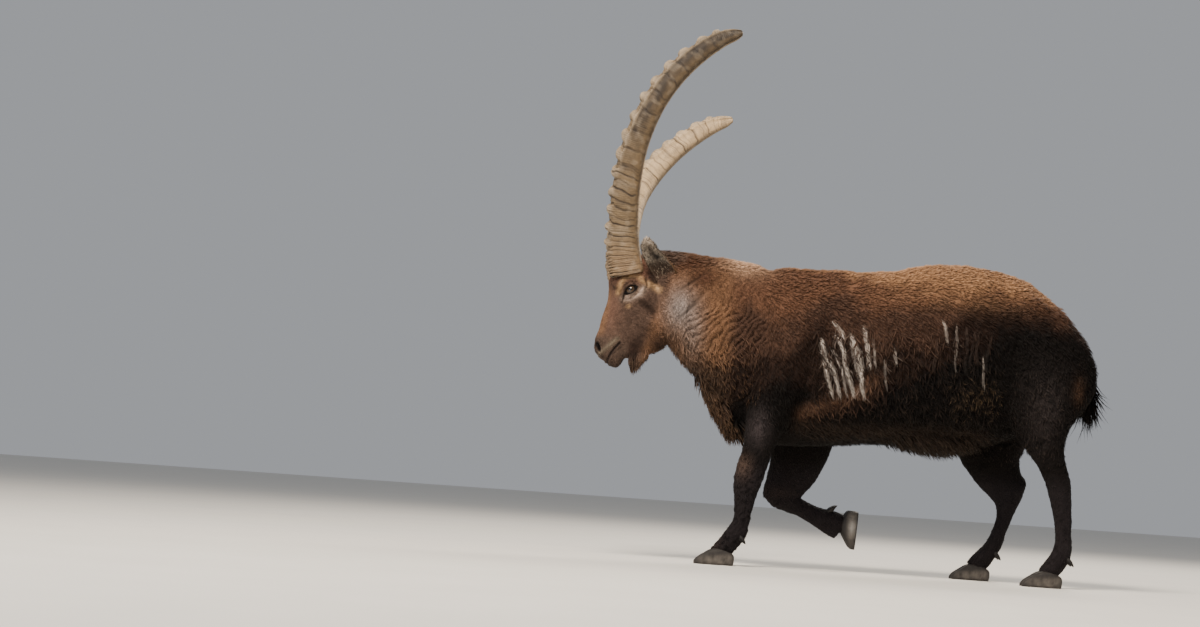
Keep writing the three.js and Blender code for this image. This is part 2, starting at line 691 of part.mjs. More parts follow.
const underside = Math.PI;
addCoat('torso', [
  ...locksOn(neckRows, { from: 0.16, to: 0.44, angle: underside, inner: 0.03, outer: 0.55, cling: 0.6,
    lie: [0.42, 0, -1], sink: 14, lift: 5, sway: 18 }, coat.chest, coatSeed, neckTurn),
  ...locksOn(torsoRows, { from: 0.06, to: 0.15, angle: underside, inner: 0.03, outer: 0.34, cling: 0.3,
    lie: [0.5, 0, -1], sink: 14, lift: 4, sway: 18 }, coat.brisket, coatSeed + 1),
  ...locksOn(torsoRows, { from: 0.39, to: 0.57, angle: underside, inner: 0.06, outer: 0.6, cling: 0.25,
    lie: [1.35, 0, -1], sink: 12, lift: 3, sway: 22 }, coat.belly, coatSeed + 2),
]);
addCoat('head', locksOn(headRows, { from: 0.33, to: 0.42, angle: underside, inner: 0, outer: 0.5, cling: 0.1,
  lie: [0.1, 0, -1], sink: 14, lift: 1, sway: 8 }, coat.beard, coatSeed + 3, lean));
const rump = join([torsoForm(jointGap), hindLeftForm(jointGap), hindRightForm(jointGap)]);
const tailHair = locksOn(tailRows, { from: 0.42, to: 0.97, angle: 0, inner: 0.2, outer: 2.2, cling: 1,
  lie: [0.12, 0, -1], sink: 7, lift: 6, sway: 26 }, coat.tail, coatSeed + 4);
addCoat('tail', tailHair.map((hair) => hair.subtract(rump)));

function buildMesh(name, { solid, look: [colour, roughness] }) {
  const { vertProperties, triVerts } = solid.getMesh();
  const geometry = new THREE.BufferGeometry();
  geometry.setAttribute('position', new THREE.BufferAttribute(new Float32Array(vertProperties), 3));
  geometry.setIndex(new THREE.BufferAttribute(new Uint32Array(triVerts), 1));
  geometry.computeVertexNormals();
  const material = new THREE.MeshStandardMaterial({ color: colour, roughness, metalness: 0 });
  const mesh = new THREE.Mesh(geometry, material);
  mesh.name = name;
  return mesh;
}

const ibex = new THREE.Group();
for (const [name, node] of nodes) ibex.add(buildMesh(name, node));

const bounds = new THREE.Box3().setFromObject(ibex);
const middle = bounds.getCenter(new THREE.Vector3());
ibex.position.set(-middle.x, -middle.y, -bounds.min.z);
ibex.updateMatrixWorld(true);

export default ibex;
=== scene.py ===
import math
import bpy
import numpy as np
from mathutils import Matrix, Vector


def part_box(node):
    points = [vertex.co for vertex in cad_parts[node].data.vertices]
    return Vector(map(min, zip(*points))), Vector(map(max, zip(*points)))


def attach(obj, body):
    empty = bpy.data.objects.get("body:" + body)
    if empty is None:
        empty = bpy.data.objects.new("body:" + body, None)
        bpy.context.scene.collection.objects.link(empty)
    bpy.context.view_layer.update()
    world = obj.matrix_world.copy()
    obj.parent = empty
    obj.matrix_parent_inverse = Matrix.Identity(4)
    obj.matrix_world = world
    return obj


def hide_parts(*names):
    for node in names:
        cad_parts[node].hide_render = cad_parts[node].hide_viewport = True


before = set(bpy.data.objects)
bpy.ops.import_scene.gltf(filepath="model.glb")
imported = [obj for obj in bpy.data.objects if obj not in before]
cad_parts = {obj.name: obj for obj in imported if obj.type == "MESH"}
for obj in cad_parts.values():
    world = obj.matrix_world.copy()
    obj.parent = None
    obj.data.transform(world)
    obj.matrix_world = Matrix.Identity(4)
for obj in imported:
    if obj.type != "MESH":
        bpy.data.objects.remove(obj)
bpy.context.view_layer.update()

# Lengths are millimetres in the animal's own layout: head towards -X, left side towards -Y, floor at 0
# and the middle of the body at y = 0. makeMesh turns them into metres and moves them into the frame.
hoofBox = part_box("hoof_hind_left_outer")
layoutShift = np.array([hoofBox[1].x - 0.452, hoofBox[0].y + 0.1305, 0.0])

pose = {
    "headTilt": math.radians(12), "headYaw": math.radians(-2.2), "pivot": (-680.0, 0.0, 740.0),
    "neckTurnStart": -500.0}


# Cuts through a limb or the trunk, one for each tuple: its back or upper edge in x and z, its front or lower
# edge in x and z, the middle's place across the body and half the width. A seventh number says where between
# front and back edge that width lies (else 0.5), and an eighth how square the cut is (else 2, an ellipse).
def cuts(*rows):
    return np.array([row + (0.5, 2.0)[len(row) - 6:] for row in rows], float)


torsoRows = cuts(
    (-512, 530, -512, 450, 0, 40), (-490, 650, -488, 402, 0, 80), (-440, 812, -440, 358, 0, 112, 0.48),
    (-370, 848, -370, 342, 0, 138, 0.46), (-280, 852, -280, 340, 0, 156, 0.45),
    (-170, 854, -170, 352, 0, 172, 0.44, 2.1), (-60, 862, -60, 366, 0, 183, 0.44, 2.15),
    (50, 885, 50, 370, 0, 184, 0.44, 2.15), (150, 892, 150, 373, 0, 175, 0.45, 2.1),
    (250, 880, 250, 386, 0, 160, 0.47), (330, 858, 330, 412, 0, 148), (395, 815, 395, 460, 0, 130, 0.52),
    (440, 765, 440, 520, 0, 106, 0.52), (472, 712, 472, 590, 0, 70), (486, 678, 486, 628, 0, 33))
neckRows = cuts(
    (-290, 800, -280, 420, 0, 118), (-430, 849, -462, 362, 0, 118, 0.48), (-517, 865, -532, 424, 0, 108),
    (-575, 868, -573, 494, 0, 96, 0.52), (-632, 876, -630, 548, 0, 84, 0.52),
    (-690, 880, -682, 606, 0, 73, 0.52), (-735, 868, -722, 650, 0, 58, 0.52))
headRows = cuts(
    (-879, 565, -852, 543, 0, 11, 0.5, 2.2), (-885, 579, -834, 529, 0, 22, 0.5, 2.3),
    (-886, 597, -815, 527, 0, 28, 0.52, 2.3), (-882, 616, -799, 545, 0, 31, 0.52, 2.4),
    (-876, 636, -785, 552, 0, 31, 0.54, 2.4), (-872, 662, -763, 559, 0, 32, 0.56, 2.4),
    (-865, 690, -735, 567, 0, 36, 0.56, 2.3), (-858, 721, -707, 582, 0, 43, 0.56, 2.2),
    (-857, 752, -684, 602, 0, 53, 0.58, 2.1), (-858, 781, -666, 634, 0, 62, 0.6),
    (-846, 808, -656, 668, 0, 64, 0.6), (-818, 836, -652, 710, 0, 61, 0.6),
    (-778, 862, -652, 752, 0, 56, 0.55), (-728, 880, -655, 792, 0, 48), (-692, 880, -660, 822, 0, 30))
foreLeftRows = cuts(
    (-250, 762, -378, 775, -60, 54), (-236, 645, -420, 645, -82, 74), (-262, 522, -436, 534, -97, 68),
    (-306, 432, -446, 434, -101, 53), (-345, 374, -452, 366, -100, 42), (-364, 327, -457, 320, -99, 36),
    (-379, 282, -468, 282, -98, 33), (-390, 236, -474, 240, -98, 32, 0.5, 2.2),
    (-403, 200, -473, 206, -98, 27, 0.5, 2.2), (-413, 160, -469, 166, -98, 22, 0.5, 2.2),
    (-419, 120, -471, 126, -98, 22, 0.5, 2.2), (-424, 88, -488, 97, -98, 28, 0.5, 2.2),
    (-444, 54, -508, 70, -98, 28), (-468, 24, -530, 42, -98, 29))
foreRightRows = cuts(
    (-190, 752, -330, 765, 60, 54), (-166, 645, -370, 645, 82, 74), (-160, 532, -384, 532, 97, 68),
    (-162, 432, -374, 434, 104, 56), (-173, 372, -362, 366, 105, 46), (-187, 325, -358, 318, 104, 39),
    (-208, 277, -362, 281, 103, 34), (-232, 236, -371, 240, 102, 32), (-262, 204, -376, 212, 102, 29),
    (-302, 182, -370, 191, 102, 20))
foreRightCannonRows = cuts(
    (-322, 228, -374, 198, 102, 20), (-286, 215, -346, 170, 102, 28),
    (-252, 196, -312, 159, 103, 24, 0.5, 2.2), (-217, 182, -264, 144, 104, 21, 0.5, 2.2),
    (-182, 174, -222, 122, 105, 27, 0.5, 2.2), (-150, 168, -190, 103, 106, 28),
    (-120, 156, -160, 88, 106, 28))
hindLeftRows = cuts(
    (420, 780, 250, 800, -58, 48), (484, 702, 230, 700, -80, 66), (520, 622, 236, 602, -93, 77),
    (518, 552, 255, 520, -99, 76), (486, 492, 286, 450, -101, 66), (455, 445, 318, 402, -101, 54),
    (446, 402, 348, 362, -100, 42), (446, 367, 371, 331, -99, 34), (455, 336, 387, 301, -99, 29),
    (466, 300, 399, 272, -99, 29, 0.5, 2.2), (471, 255, 409, 240, -99, 24, 0.5, 2.2),
    (475, 200, 422, 190, -99, 21, 0.5, 2.2), (477, 142, 429, 138, -99, 21, 0.5, 2.2),
    (480, 98, 424, 104, -99, 27, 0.5, 2.2), (464, 58, 404, 74, -99, 28), (442, 28, 384, 46, -99, 29))
hindRightRows = cuts(
    (425, 780, 230, 800, 58, 48), (470, 702, 192, 692, 80, 66), (472, 612, 166, 590, 95, 77),
    (440, 520, 156, 490, 103, 74), (405, 442, 162, 410, 107, 62), (379, 390, 184, 352, 108, 50),
    (366, 350, 212, 310, 109, 40), (370, 318, 246, 270, 109, 33), (387, 288, 280, 240, 109, 29),
    (378, 250, 299, 216, 109, 28, 0.5, 2.2), (359, 205, 303, 186, 109, 23, 0.5, 2.2),
    (340, 155, 290, 140, 109, 21, 0.5, 2.2), (326, 104, 270, 102, 109, 27, 0.5, 2.2),
    (302, 58, 242, 74, 109, 28), (280, 28, 222, 48, 109, 29))
tailRows = cuts(
    (450, 745, 440, 700, 0, 24), (482, 708, 458, 672, 0, 25), (508, 662, 480, 636, 0, 22),
    (525, 612, 497, 600, 0, 19), (533, 568, 507, 564, 0, 15), (532, 545, 516, 543, 0, 7))
earRows = cuts(
    (-677, 751, -708, 735, 46, 15), (-666, 778, -723, 766, 62, 20), (-669, 804, -740, 790, 75, 20),
    (-692, 828, -757, 816, 87, 16), (-717, 850, -770, 839, 96, 13), (-733, 870, -773, 860, 102, 10),
    (-747, 882, -766, 876, 105, 5))
clawRows = cuts(
    (-3, 26, -3, 8, 0, 5), (4, 34, 4, -8, 0, 12.5, 0.5, 2.4), (30, 45, 30, -14, 0, 15.5, 0.5, 2.6),
    (58, 44, 58, -14, 0, 15.5, 0.5, 2.6), (82, 30, 82, -12, 0, 14, 0.5, 2.6),
    (99, 18, 99, -9, 0, 10.5, 0.5, 2.4), (107, 8, 107, -4, 0, 5))
dewclawRows = cuts(
    (-12, 92, -18, 72, 14, 7), (-21, 90, -27, 68, 15.5, 9), (-30, 81, -35, 63, 16.5, 8),
    (-36, 71, -38, 62, 16.5, 4.5))


# Catmull-Rom between the rows, t running 0 to 1 over the whole table.
def blendRows(rows, t):
    place = np.clip(t, 0, 1) * (len(rows) - 1)
    i = np.minimum(place.astype(int), len(rows) - 2)
    f = (place - i)[:, None]
    p0, p1, p2, p3 = (rows[np.clip(i + k, 0, len(rows) - 1)] for k in (-1, 0, 1, 2))
    return (0.5 * (2 * p1 + (p2 - p0) * f + (2 * p0 - 5 * p1 + 4 * p2 - p3) * f**2
                   + (3 * p1 - p0 - 3 * p2 + p3) * f**3))


# A ring at each place along the rows: a superellipse, angle 0 at the back edge and a half turn at the front
# edge, its half width and half depth changed by grow. cup bends the outer half inwards.
def loftPoints(rows, rings, sides, grow=0.0, cup=None, span=(0.0, 1.0)):
    row = blendRows(rows, np.linspace(span[0], span[1], rings))
    backX, backZ, frontX, frontZ, across, side, wide, fat = (c[:, None] for c in row.T)
    angle = np.arange(sides) * 2 * np.pi / sides
    c, s = np.cos(angle)[None], np.sin(angle)[None]
    depth = np.hypot(backX - frontX, backZ - frontZ)
    alongX, alongZ = (backX - frontX) / depth, (backZ - frontZ) / depth
    reach = np.where(c > 0, 1 - wide, wide) * depth + grow
    out = wide * depth + reach * np.sign(c) * np.abs(c) ** (2 / fat)
    swell = np.sign(s) * np.abs(s) ** (2 / fat)
    if cup is not None:
        swell = np.where(s > 0, cup * swell, swell)
    return np.stack([frontX + alongX * out, across + (side + grow) * swell, frontZ + alongZ * out], -1)


# Leans points over to the animal's right about the pivot and turns them a little, or back again.
def turnHead(points, share=1.0, back=False):
    pivot = np.array(pose["pivot"])
    p = points - pivot
    tilt = -pose["headTilt"] * share * np.ones(len(p))
    yaw = pose["headYaw"] * share * np.ones(len(p))
    x, y, z = p.T
    if back:
        x, y = x * np.cos(yaw) + y * np.sin(yaw), -x * np.sin(yaw) + y * np.cos(yaw)
        y, z = y * np.cos(tilt) + z * np.sin(tilt), -y * np.sin(tilt) + z * np.cos(tilt)
    else:
        y, z = y * np.cos(tilt) - z * np.sin(tilt), y * np.sin(tilt) + z * np.cos(tilt)
        x, y = x * np.cos(yaw) - y * np.sin(yaw), x * np.sin(yaw) + y * np.cos(yaw)
    return np.stack([x, y, z], -1) + pivot


# 0 below low, 1 above high and 3f^2 - 2f^3 between them, f being how far the value has come.
def ramp(low, high, value):
    f = np.clip((value - low) / (high - low), 0, 1)
    return f * f * (3 - 2 * f)


# The neck takes up a growing share of the head's turn.
def turnNeck(points):
    return turnHead(points, ramp(-pose["neckTurnStart"], -pose["pivot"][0], -points[:, 0]))


# The triangles between rings of points: two for each step round and along, numbered ring by ring.
def facesRound(rings, sides):
    r, k = np.meshgrid(np.arange(rings - 1), np.arange(sides), indexing="ij")
    a, b = (r * sides + k).ravel(), (r * sides + (k + 1) % sides).ravel()
    return np.vstack([np.stack([a, b, b + sides], -1), np.stack([a, b + sides, a + sides], -1)])


# Vertices and triangles of rings of points, each end closed by a fan to its own middle, faces outwards.
def closedForm(grid):
    rings, sides = grid.shape[:2]
    points = np.vstack([grid.reshape(-1, 3), grid[0].mean(0), grid[-1].mean(0)])
    k = np.arange(sides)
    first, last = rings * sides, rings * sides + 1
    end = (rings - 1) * sides
    triangles = np.vstack([
        facesRound(rings, sides),
        np.stack([np.full(sides, first), (k + 1) % sides, k], -1),
        np.stack([np.full(sides, last), end + k, end + (k + 1) % sides], -1)])
    p = points[triangles] - points.mean(0)
    if np.einsum("ij,ij->i", p[:, 0], np.cross(p[:, 1], p[:, 2])).sum() < 0:
        triangles = triangles[:, ::-1]
    return points, triangles


# An ellipsoid as rings from pole to pole, turned about Y.
def ball(centre, radii, turn=0.0, around=48, down=30):
    v = np.linspace(0.02, np.pi - 0.02, down)[:, None]
    u = np.arange(around)[None] * 2 * np.pi / around
    p = (np.stack([np.sin(v) * np.cos(u), np.sin(v) * np.sin(u), np.cos(v) * np.ones_like(u)], -1)
         * np.array(radii))
    x = p[..., 0] * math.cos(turn) + p[..., 2] * math.sin(turn)
    z = -p[..., 0] * math.sin(turn) + p[..., 2] * math.cos(turn)
    return closedForm(np.stack([x, p[..., 1], z], -1) + np.array(centre))


# Several forms as one: all their points, each form's triangles numbered on from the points before it.
def joinForms(forms):
    offsets = np.cumsum([0] + [len(p) for p, t in forms[:-1]])
    return np.vstack([p for p, t in forms]), np.vstack([t + o for (p, t), o in zip(forms, offsets)])


# A new object for a mesh, a lamp or a camera, put into the scene.
def placed(name, data):
    made = bpy.data.objects.new(name, data)
    bpy.context.scene.collection.objects.link(made)
    return made


# A smooth shaded mesh object from layout points, with its colours (linear) and other values on its points.
def makeMesh(name, points, triangles, colour=None, extra=None, uv=None):
    mesh = bpy.data.meshes.new(name)
    count = len(triangles)
    mesh.vertices.add(len(points))
    mesh.vertices.foreach_set("co", (points / 1000 + layoutShift).astype(np.float32).ravel())
    mesh.loops.add(3 * count)
    mesh.loops.foreach_set("vertex_index", triangles.astype(np.int32).ravel())
    mesh.polygons.add(count)
    mesh.polygons.foreach_set("loop_start", np.arange(0, 3 * count, 3, dtype=np.int32))
    mesh.polygons.foreach_set("use_smooth", np.ones(count, bool))
    mesh.update(calc_edges=True)
    if colour is not None:
        made = mesh.attributes.new("markings", "FLOAT_COLOR", "POINT")
        made.data.foreach_set("color",
                              np.hstack([colour, np.ones((len(points), 1))]).astype(np.float32).ravel())
    for key, values in (extra or {}).items():
        made = mesh.attributes.new(key, "FLOAT", "POINT")
        made.data.foreach_set("value", values.astype(np.float32))
    if uv is not None:
        layer = mesh.uv_layers.new(name="OFBake")
        layer.data.foreach_set("uv", uv[triangles.ravel()].astype(np.float32).ravel())
    return placed(name, mesh)


# The outer surface of overlapping closed forms on an even net, as layout points and triangles.
def remeshed(forms, voxel):
    points, triangles = joinForms(forms)
    piece = makeMesh("remesh_work", points, triangles)
    net = piece.modifiers.new("net", "REMESH")
    net.mode = "VOXEL"
    net.voxel_size = voxel / 1000
    result = piece.evaluated_get(bpy.context.evaluated_depsgraph_get()).to_mesh()
    co = np.zeros(len(result.vertices) * 3)
    result.vertices.foreach_get("co", co)
    result.calc_loop_triangles()
    corner = np.zeros(len(result.loop_triangles) * 3, np.int32)
    result.loop_triangles.foreach_get("vertices", corner)
    bpy.data.objects.remove(piece)
    return (co.reshape(-1, 3) - layoutShift) * 1000, corner.reshape(-1, 3)


# Every edge of the triangles once, as a pair of points.
def edgesOf(triangles):
    pairs = np.sort(np.vstack([triangles[:, [0, 1]], triangles[:, [1, 2]], triangles[:, [2, 0]]]), axis=1)
    return np.unique(pairs, axis=0)


# Each point moves towards the mean of its neighbours and, to keep the volume, a little back out.
def smoothed(points, edges, rounds, share=1.0, keepVolume=True):
    count = len(points)
    near = np.bincount(edges.ravel(), minlength=count)[:, None]
    share = np.broadcast_to(share, (count,))[:, None]
    for amount in ([0.5, -0.52] if keepVolume else [0.5]) * rounds:
        total = np.stack([np.bincount(edges[:, 0], points[edges[:, 1], c], count)
                          + np.bincount(edges[:, 1], points[edges[:, 0], c], count) for c in range(3)], -1)
        points = points + amount * share * (total / near - points)
    return points


# Each point's normal: the cross products of its triangles' edges added up and made one long.
def pointNormals(points, triangles):
    p = points[triangles]
    face = np.cross(p[:, 1] - p[:, 0], p[:, 2] - p[:, 0])
    normal = np.stack([sum(np.bincount(triangles[:, k], face[:, c], len(points)) for k in range(3))
                       for c in range(3)], -1)
    return normal / np.maximum(np.linalg.norm(normal, axis=1, keepdims=True), 1e-9)


# Smooth, repeatable unevenness between about -1 and 1: sums of sines in turned directions.
def ripple(points, size, seed, octaves=3):
    random = np.random.default_rng(seed)
    total = np.zeros(len(points))
    for k in range(octaves * 5):
        direction = random.normal(size=3)
        direction *= 2 * np.pi * 1.7 ** (k // 5) / (size * np.linalg.norm(direction))
        total += np.sin(points @ direction + random.uniform(0, 6.28)) / 1.5 ** (k // 5)
    return np.clip(total / 4.2, -1, 1)


# An sRGB hex colour as linear red, green and blue.
def linear(hexColour):
    values = np.array([int(hexColour[k:k + 2], 16) / 255 for k in (1, 3, 5)])
    return np.where(values <= 0.04045, values / 12.92, ((values + 0.055) / 1.055) ** 2.4)


# Each named colour of a palette is laid over the last by its share, held between 0 and 1.
def overlaid(colour, palette, layers):
    for name, share in layers:
        share = np.clip(share, 0, 1)[..., None]
        colour = colour * (1 - share) + linear(palette[name]) * share
    return colour


# A bell: e to the power of less the square of (x - middle) / width.
def bump(x, middle, width):
    return np.exp(-(((x - middle) / width) ** 2))


# Skin: one surface for all the flesh, under the coat by its depth. The head is on a finer net.
skin = {
    "bodyInset": 5.0, "limbInset": 2.0, "headInset": 1.5, "bodyNet": 7.2, "headNet": 2.3, "headEnd": -632.0,
    "bodyStart": -652.0, "trunkNet": (90, 72), "neckNet": (60, 64), "limbNet": (70, 32), "tailNet": (24, 24),
    "tone": 0.8}
eye = {
    "centre": (-791.0, 54.0, 739.0), "radius": 17.0, "length": 34.0, "height": 22.0,
    "slant": math.radians(36), "gaze": (-0.22, 0.97, 0.02), "pupil": (7.6, 3.2), "iris": (10.0, 12.6)}


# The form with y turned round, and its triangles too so that they still face outwards.
def mirrored(form):
    points, triangles = form
    return points * np.array([1, -1, 1]), triangles[:, ::-1]


# Overlapping forms of the head: the lofted rows, and on each side balls for the eye socket, the eyeball's
# bulge, the wing of the nostril, the cheek, the brow and the root of the ear.
def headForms(inset):
    forms = [closedForm(loftPoints(headRows, *skin["trunkNet"], -inset))]
    for form in (ball((-795, 47, 744), (36 - inset, 22 - inset, 31 - inset), 0.5),
                 ball(eye["centre"], [eye["radius"] + 3.4 - inset * 0.5] * 3),
                 ball((-866, 14, 588), (16 - inset, 16 - inset, 24 - inset), 0.35),
                 ball((-748, 30, 668), (52, 22, 40), 0.6),
                 ball((-822, 40, 765), (26, 14, 22), 0.4),
                 ball((-690, 44, 752), (20, 18, 24), 0.2)):
        forms += [form, mirrored(form)]
    return [(turnHead(p), t) for p, t in forms]


# Overlapping forms of trunk, tail, neck and legs, each lofted from its rows and set in by the coat's depth.
def bodyForms():
    body, limb = -skin["bodyInset"], -skin["limbInset"]
    forms = [closedForm(loftPoints(torsoRows, *skin["trunkNet"], body)),
             closedForm(loftPoints(tailRows, *skin["tailNet"], -4))]
    neck = closedForm(loftPoints(neckRows, *skin["neckNet"], body + 1))
    forms.append((turnNeck(neck[0]), neck[1]))
    for rows in (foreLeftRows, foreRightRows, foreRightCannonRows, hindLeftRows, hindRightRows):
        forms.append(closedForm(loftPoints(rows, *skin["limbNet"], limb)))
    # Points of bone and muscle that stand under the skin: shoulder, elbow and hip on each side.
    for centre, radii, turn in (
            ((-395, -112, 560), (42, 30, 60), 0.3), ((-282, -118, 468), (30, 22, 30), 0.2),
            ((-395, 112, 560), (42, 30, 60), 0.3), ((-212, 122, 470), (30, 22, 30), 0.2),
            ((330, -104, 778), (46, 26, 30), 0.4), ((330, 104, 778), (46, 26, 30), 0.4)):
        forms.append(ball(centre, radii, turn))
    return forms


# Where the coat parts into narrow dark creases, 0 to 1: 1 less the height of a wave, raised to a power so
# that it stays narrow. Folds sweep down and forward over the neck, fine ones run down the throat, hanging
# ones over the flank, and short wandering ones cover thigh and shoulder.
def creases(points):
    x, _, z = points.T
    drift = ripple(points, 170, 3)

    # 1 on each line of the wave and 0 between, narrower with the power.
    def waves(across, spacing, power):
        return (1 - np.abs(np.sin(np.pi * across / spacing))) ** power

    front = x + 0.62 * (z - 600)
    neck = ramp(-330, -450, x) * ramp(850, 770, z) * ramp(415, 470, z)
    sweep = 0.83 * x - 0.55 * z + 26 * drift + 5 * ripple(points, 60, 4)
    low = ramp(800, 620, z)
    total = neck * (0.3 + 0.7 * low) * waves(sweep, 17, 1.5) * ramp(-680, -640, x)
    throat = ramp(-560, -600, front) * ramp(-700, -670, x)
    total = np.maximum(total, 0.8 * throat * waves(x + 0.3 * z + 12 * ripple(points, 55, 8), 12, 1.5)
                       * ramp(780, 720, z))
    hanging = (bump(x, 150, 85) * bump(z, 640, 85) + bump(x, -150, 110) * bump(z, 585, 90)
               + 0.6 * bump(x, 20, 80) * bump(z, 585, 60))
    total = np.maximum(total, 0.8 * np.clip(hanging, 0, 1) * waves(x + 0.2 * z + 16 * ripple(points, 110, 9),
                                                                   19, 2.0))
    wander = np.clip(1 - 5.5 * np.abs(ripple(points, 62, 10)), 0, 1) ** 1.5
    thigh = ramp(180, 260, x) * ramp(660, 560, z) * ramp(250, 330, z)
    shoulder = ramp(-160, -230, x) * ramp(640, 560, z) * ramp(330, 380, z) * ramp(-560, -500, x)
    total = np.maximum(total, wander * (0.85 * thigh + 0.5 * shoulder))
    crest = np.maximum(bump(0.75 * x - 0.66 * z + 10 * drift, -935, 7) * bump(z, 712, 60),
                       bump(0.6 * x - 0.8 * z, -1002, 6) * bump(z, 782, 34))
    return np.clip(np.maximum(total, crest * ramp(-700, -680, x)), 0, 1)


# Moves points along their normals: flank hollow, elbow, folds, tendons of the legs and small unevenness.
def bodyFolds(points):
    x, y, z = points.T
    side = ramp(30, 90, np.abs(y))
    move = -9 * bump(x, 262, 60) * bump(z, 640, 90) * side
    move += -8 * bump(x + 0.4 * (z - 420), -290, 30) * ramp(370, 420, z) * (1 - ramp(560, 640, z)) * side
    move += -5 * bump(x - 0.25 * (z - 480), 205, 26) * bump(z, 470, 80) * side
    move += -4.5 * creases(points)
    for axisX, lean, fromX, toX in ((-437, 0.12, -520, -380), (446, 0.0, 400, 500), (328, 0.32, 250, 400)):
        line = axisX + lean * (z - 180)
        inLeg = ramp(fromX, fromX + 10, x) * ramp(toX, toX - 10, x) * bump(z, 175, 70)
        move += ((-2.6 * bump(x, line + 9, 5) + 1.2 * bump(x, line + 20, 6)) * inLeg
                 * ramp(10, 18, np.abs(np.abs(y) - 100)))
    move += 2.2 * ripple(points, 120, 5) * ramp(300, 380, z)
    move += 0.9 * ripple(points, 40, 6)
    return move


# Distance to a line of straight parts: each place is dropped onto every part, and the least distance
# counts.
def distanceToLine(px, pz, line):
    best = np.full(len(px), 1e9)
    for (ax, az), (bx, bz) in zip(line[:-1], line[1:]):
        dx, dz = bx - ax, bz - az
        f = np.clip(((px - ax) * dx + (pz - az) * dz) / (dx * dx + dz * dz), 0, 1)
        best = np.minimum(best, np.hypot(px - ax - f * dx, pz - az - f * dz))
    return best


# Place on the eye's own axes, in its almond's lengths: along the slit and across it, on either side.
def eyePlace(points):
    dx, dz = points[:, 0] - eye["centre"][0], points[:, 2] - eye["centre"][2]
    u = dx * math.cos(eye["slant"]) + dz * math.sin(eye["slant"])
    v = -dx * math.sin(eye["slant"]) + dz * math.cos(eye["slant"])
    return u / (eye["length"] / 2), v / (eye["height"] / 2)


# Lines drawn on the side of the face, as x and height: folds, lips, tear line and the marks round the eye.
faceLines = {
    "mouth": [(-812, 592), (-827, 573), (-838, 555), (-846, 534), (-857, 512)],
    "upperLip": [(-871, 556), (-846, 577), (-822, 601)], "tearFold": [(-806, 738), (-811, 722), (-818, 704)],
    "tearMark": [(-806, 741), (-811, 722), (-815, 706)],
    "browFold": [(-822, 756), (-812, 775), (-793, 782), (-773, 781), (-760, 768)],
    "browMark": [(-826, 735), (-822, 756), (-812, 775), (-793, 782), (-773, 781), (-760, 768)],
    "lidFold": [(-757, 742), (-768, 724), (-794, 716)],
    "lidMark": [(-757, 744), (-766, 727), (-790, 718), (-810, 717)], "cornerFold": [(-752, 778), (-746, 752)],
    "cornerMark": [(-752, 776), (-747, 757)], "cheekFold": [(-757, 704), (-735, 690), (-722, 678)],
    "cheekMark": [(-757, 705), (-735, 692), (-722, 680)],
    "templeMark": [(-744, 761), (-728, 755), (-711, 745)]}
# Folds round the eye: each one's line, height and width.
eyeFolds = (
    ("tearFold", -2.2, 4), ("browFold", 2.4, 7), ("lidFold", 1.6, 6), ("cornerFold", -4.0, 4),
    ("cheekFold", -3.0, 12))


# A ridge of height 1 along one of the lines, falling off as a bell of the given width.
def alongLine(x, z, name, width):
    return bump(distanceToLine(x, z, faceLines[name]), 0, width)


# Distance from the nostril in its own sizes: a comma, wide above and drawn out down and forward.
def nostrilPlace(local):
    x, z = local[:, 0] + 873, local[:, 2] - 578
    along, across = 0.88 * z - 0.47 * x, 0.88 * x + 0.47 * z
    return np.hypot(across / np.maximum(5.5 + 0.12 * along, 2.5), along / 17)


# Moves points of the face along their normals: nostrils, lips, eye openings, tear line and cheek.
def faceFolds(local):
    x, y, z = local.T
    side = np.abs(y)
    u, v = eyePlace(local)
    away = np.hypot(u, v)
    sides = ramp(20, 34, side)
    move = -15 * (1 - ramp(0.62, 1.0, away)) * sides
    move += 1.6 * bump(away, 1.45, 0.22) * sides * ramp(-0.6, 0.4, v)
    move += -2.2 * bump(away, 1.9, 0.25) * sides
    for name, height, width in eyeFolds:
        move += height * alongLine(x, z, name, width) * sides
    move += 2.0 * alongLine(x, z, "upperLip", 6) * ramp(8, 16, side)
    away = nostrilPlace(local)
    move += -10 * (1 - ramp(0.45, 1.1, away)) * ramp(8, 13, side)
    move += 2.2 * bump(away, 1.5, 0.32) * ramp(8, 13, side)
    move += -7 * bump(np.hypot((x + 792) / 9, (z - 548) / 10), 0, 1)
    move += 3.5 * bump(np.hypot((x + 806) / 26, (z - 768) / 7), 0, 1) * ramp(24, 38, side)
    lip = distanceToLine(x, z, faceLines["mouth"])
    move += (-4.0 * bump(lip, 0, 2.3) + 1.5 * bump(lip, 6, 3.0)) * ramp(3, 8, side)
    move += -3.0 * bump(np.hypot((x + 835) / 34, (z - 655) / 46), 0, 1) * ramp(12, 26, side)
    return move


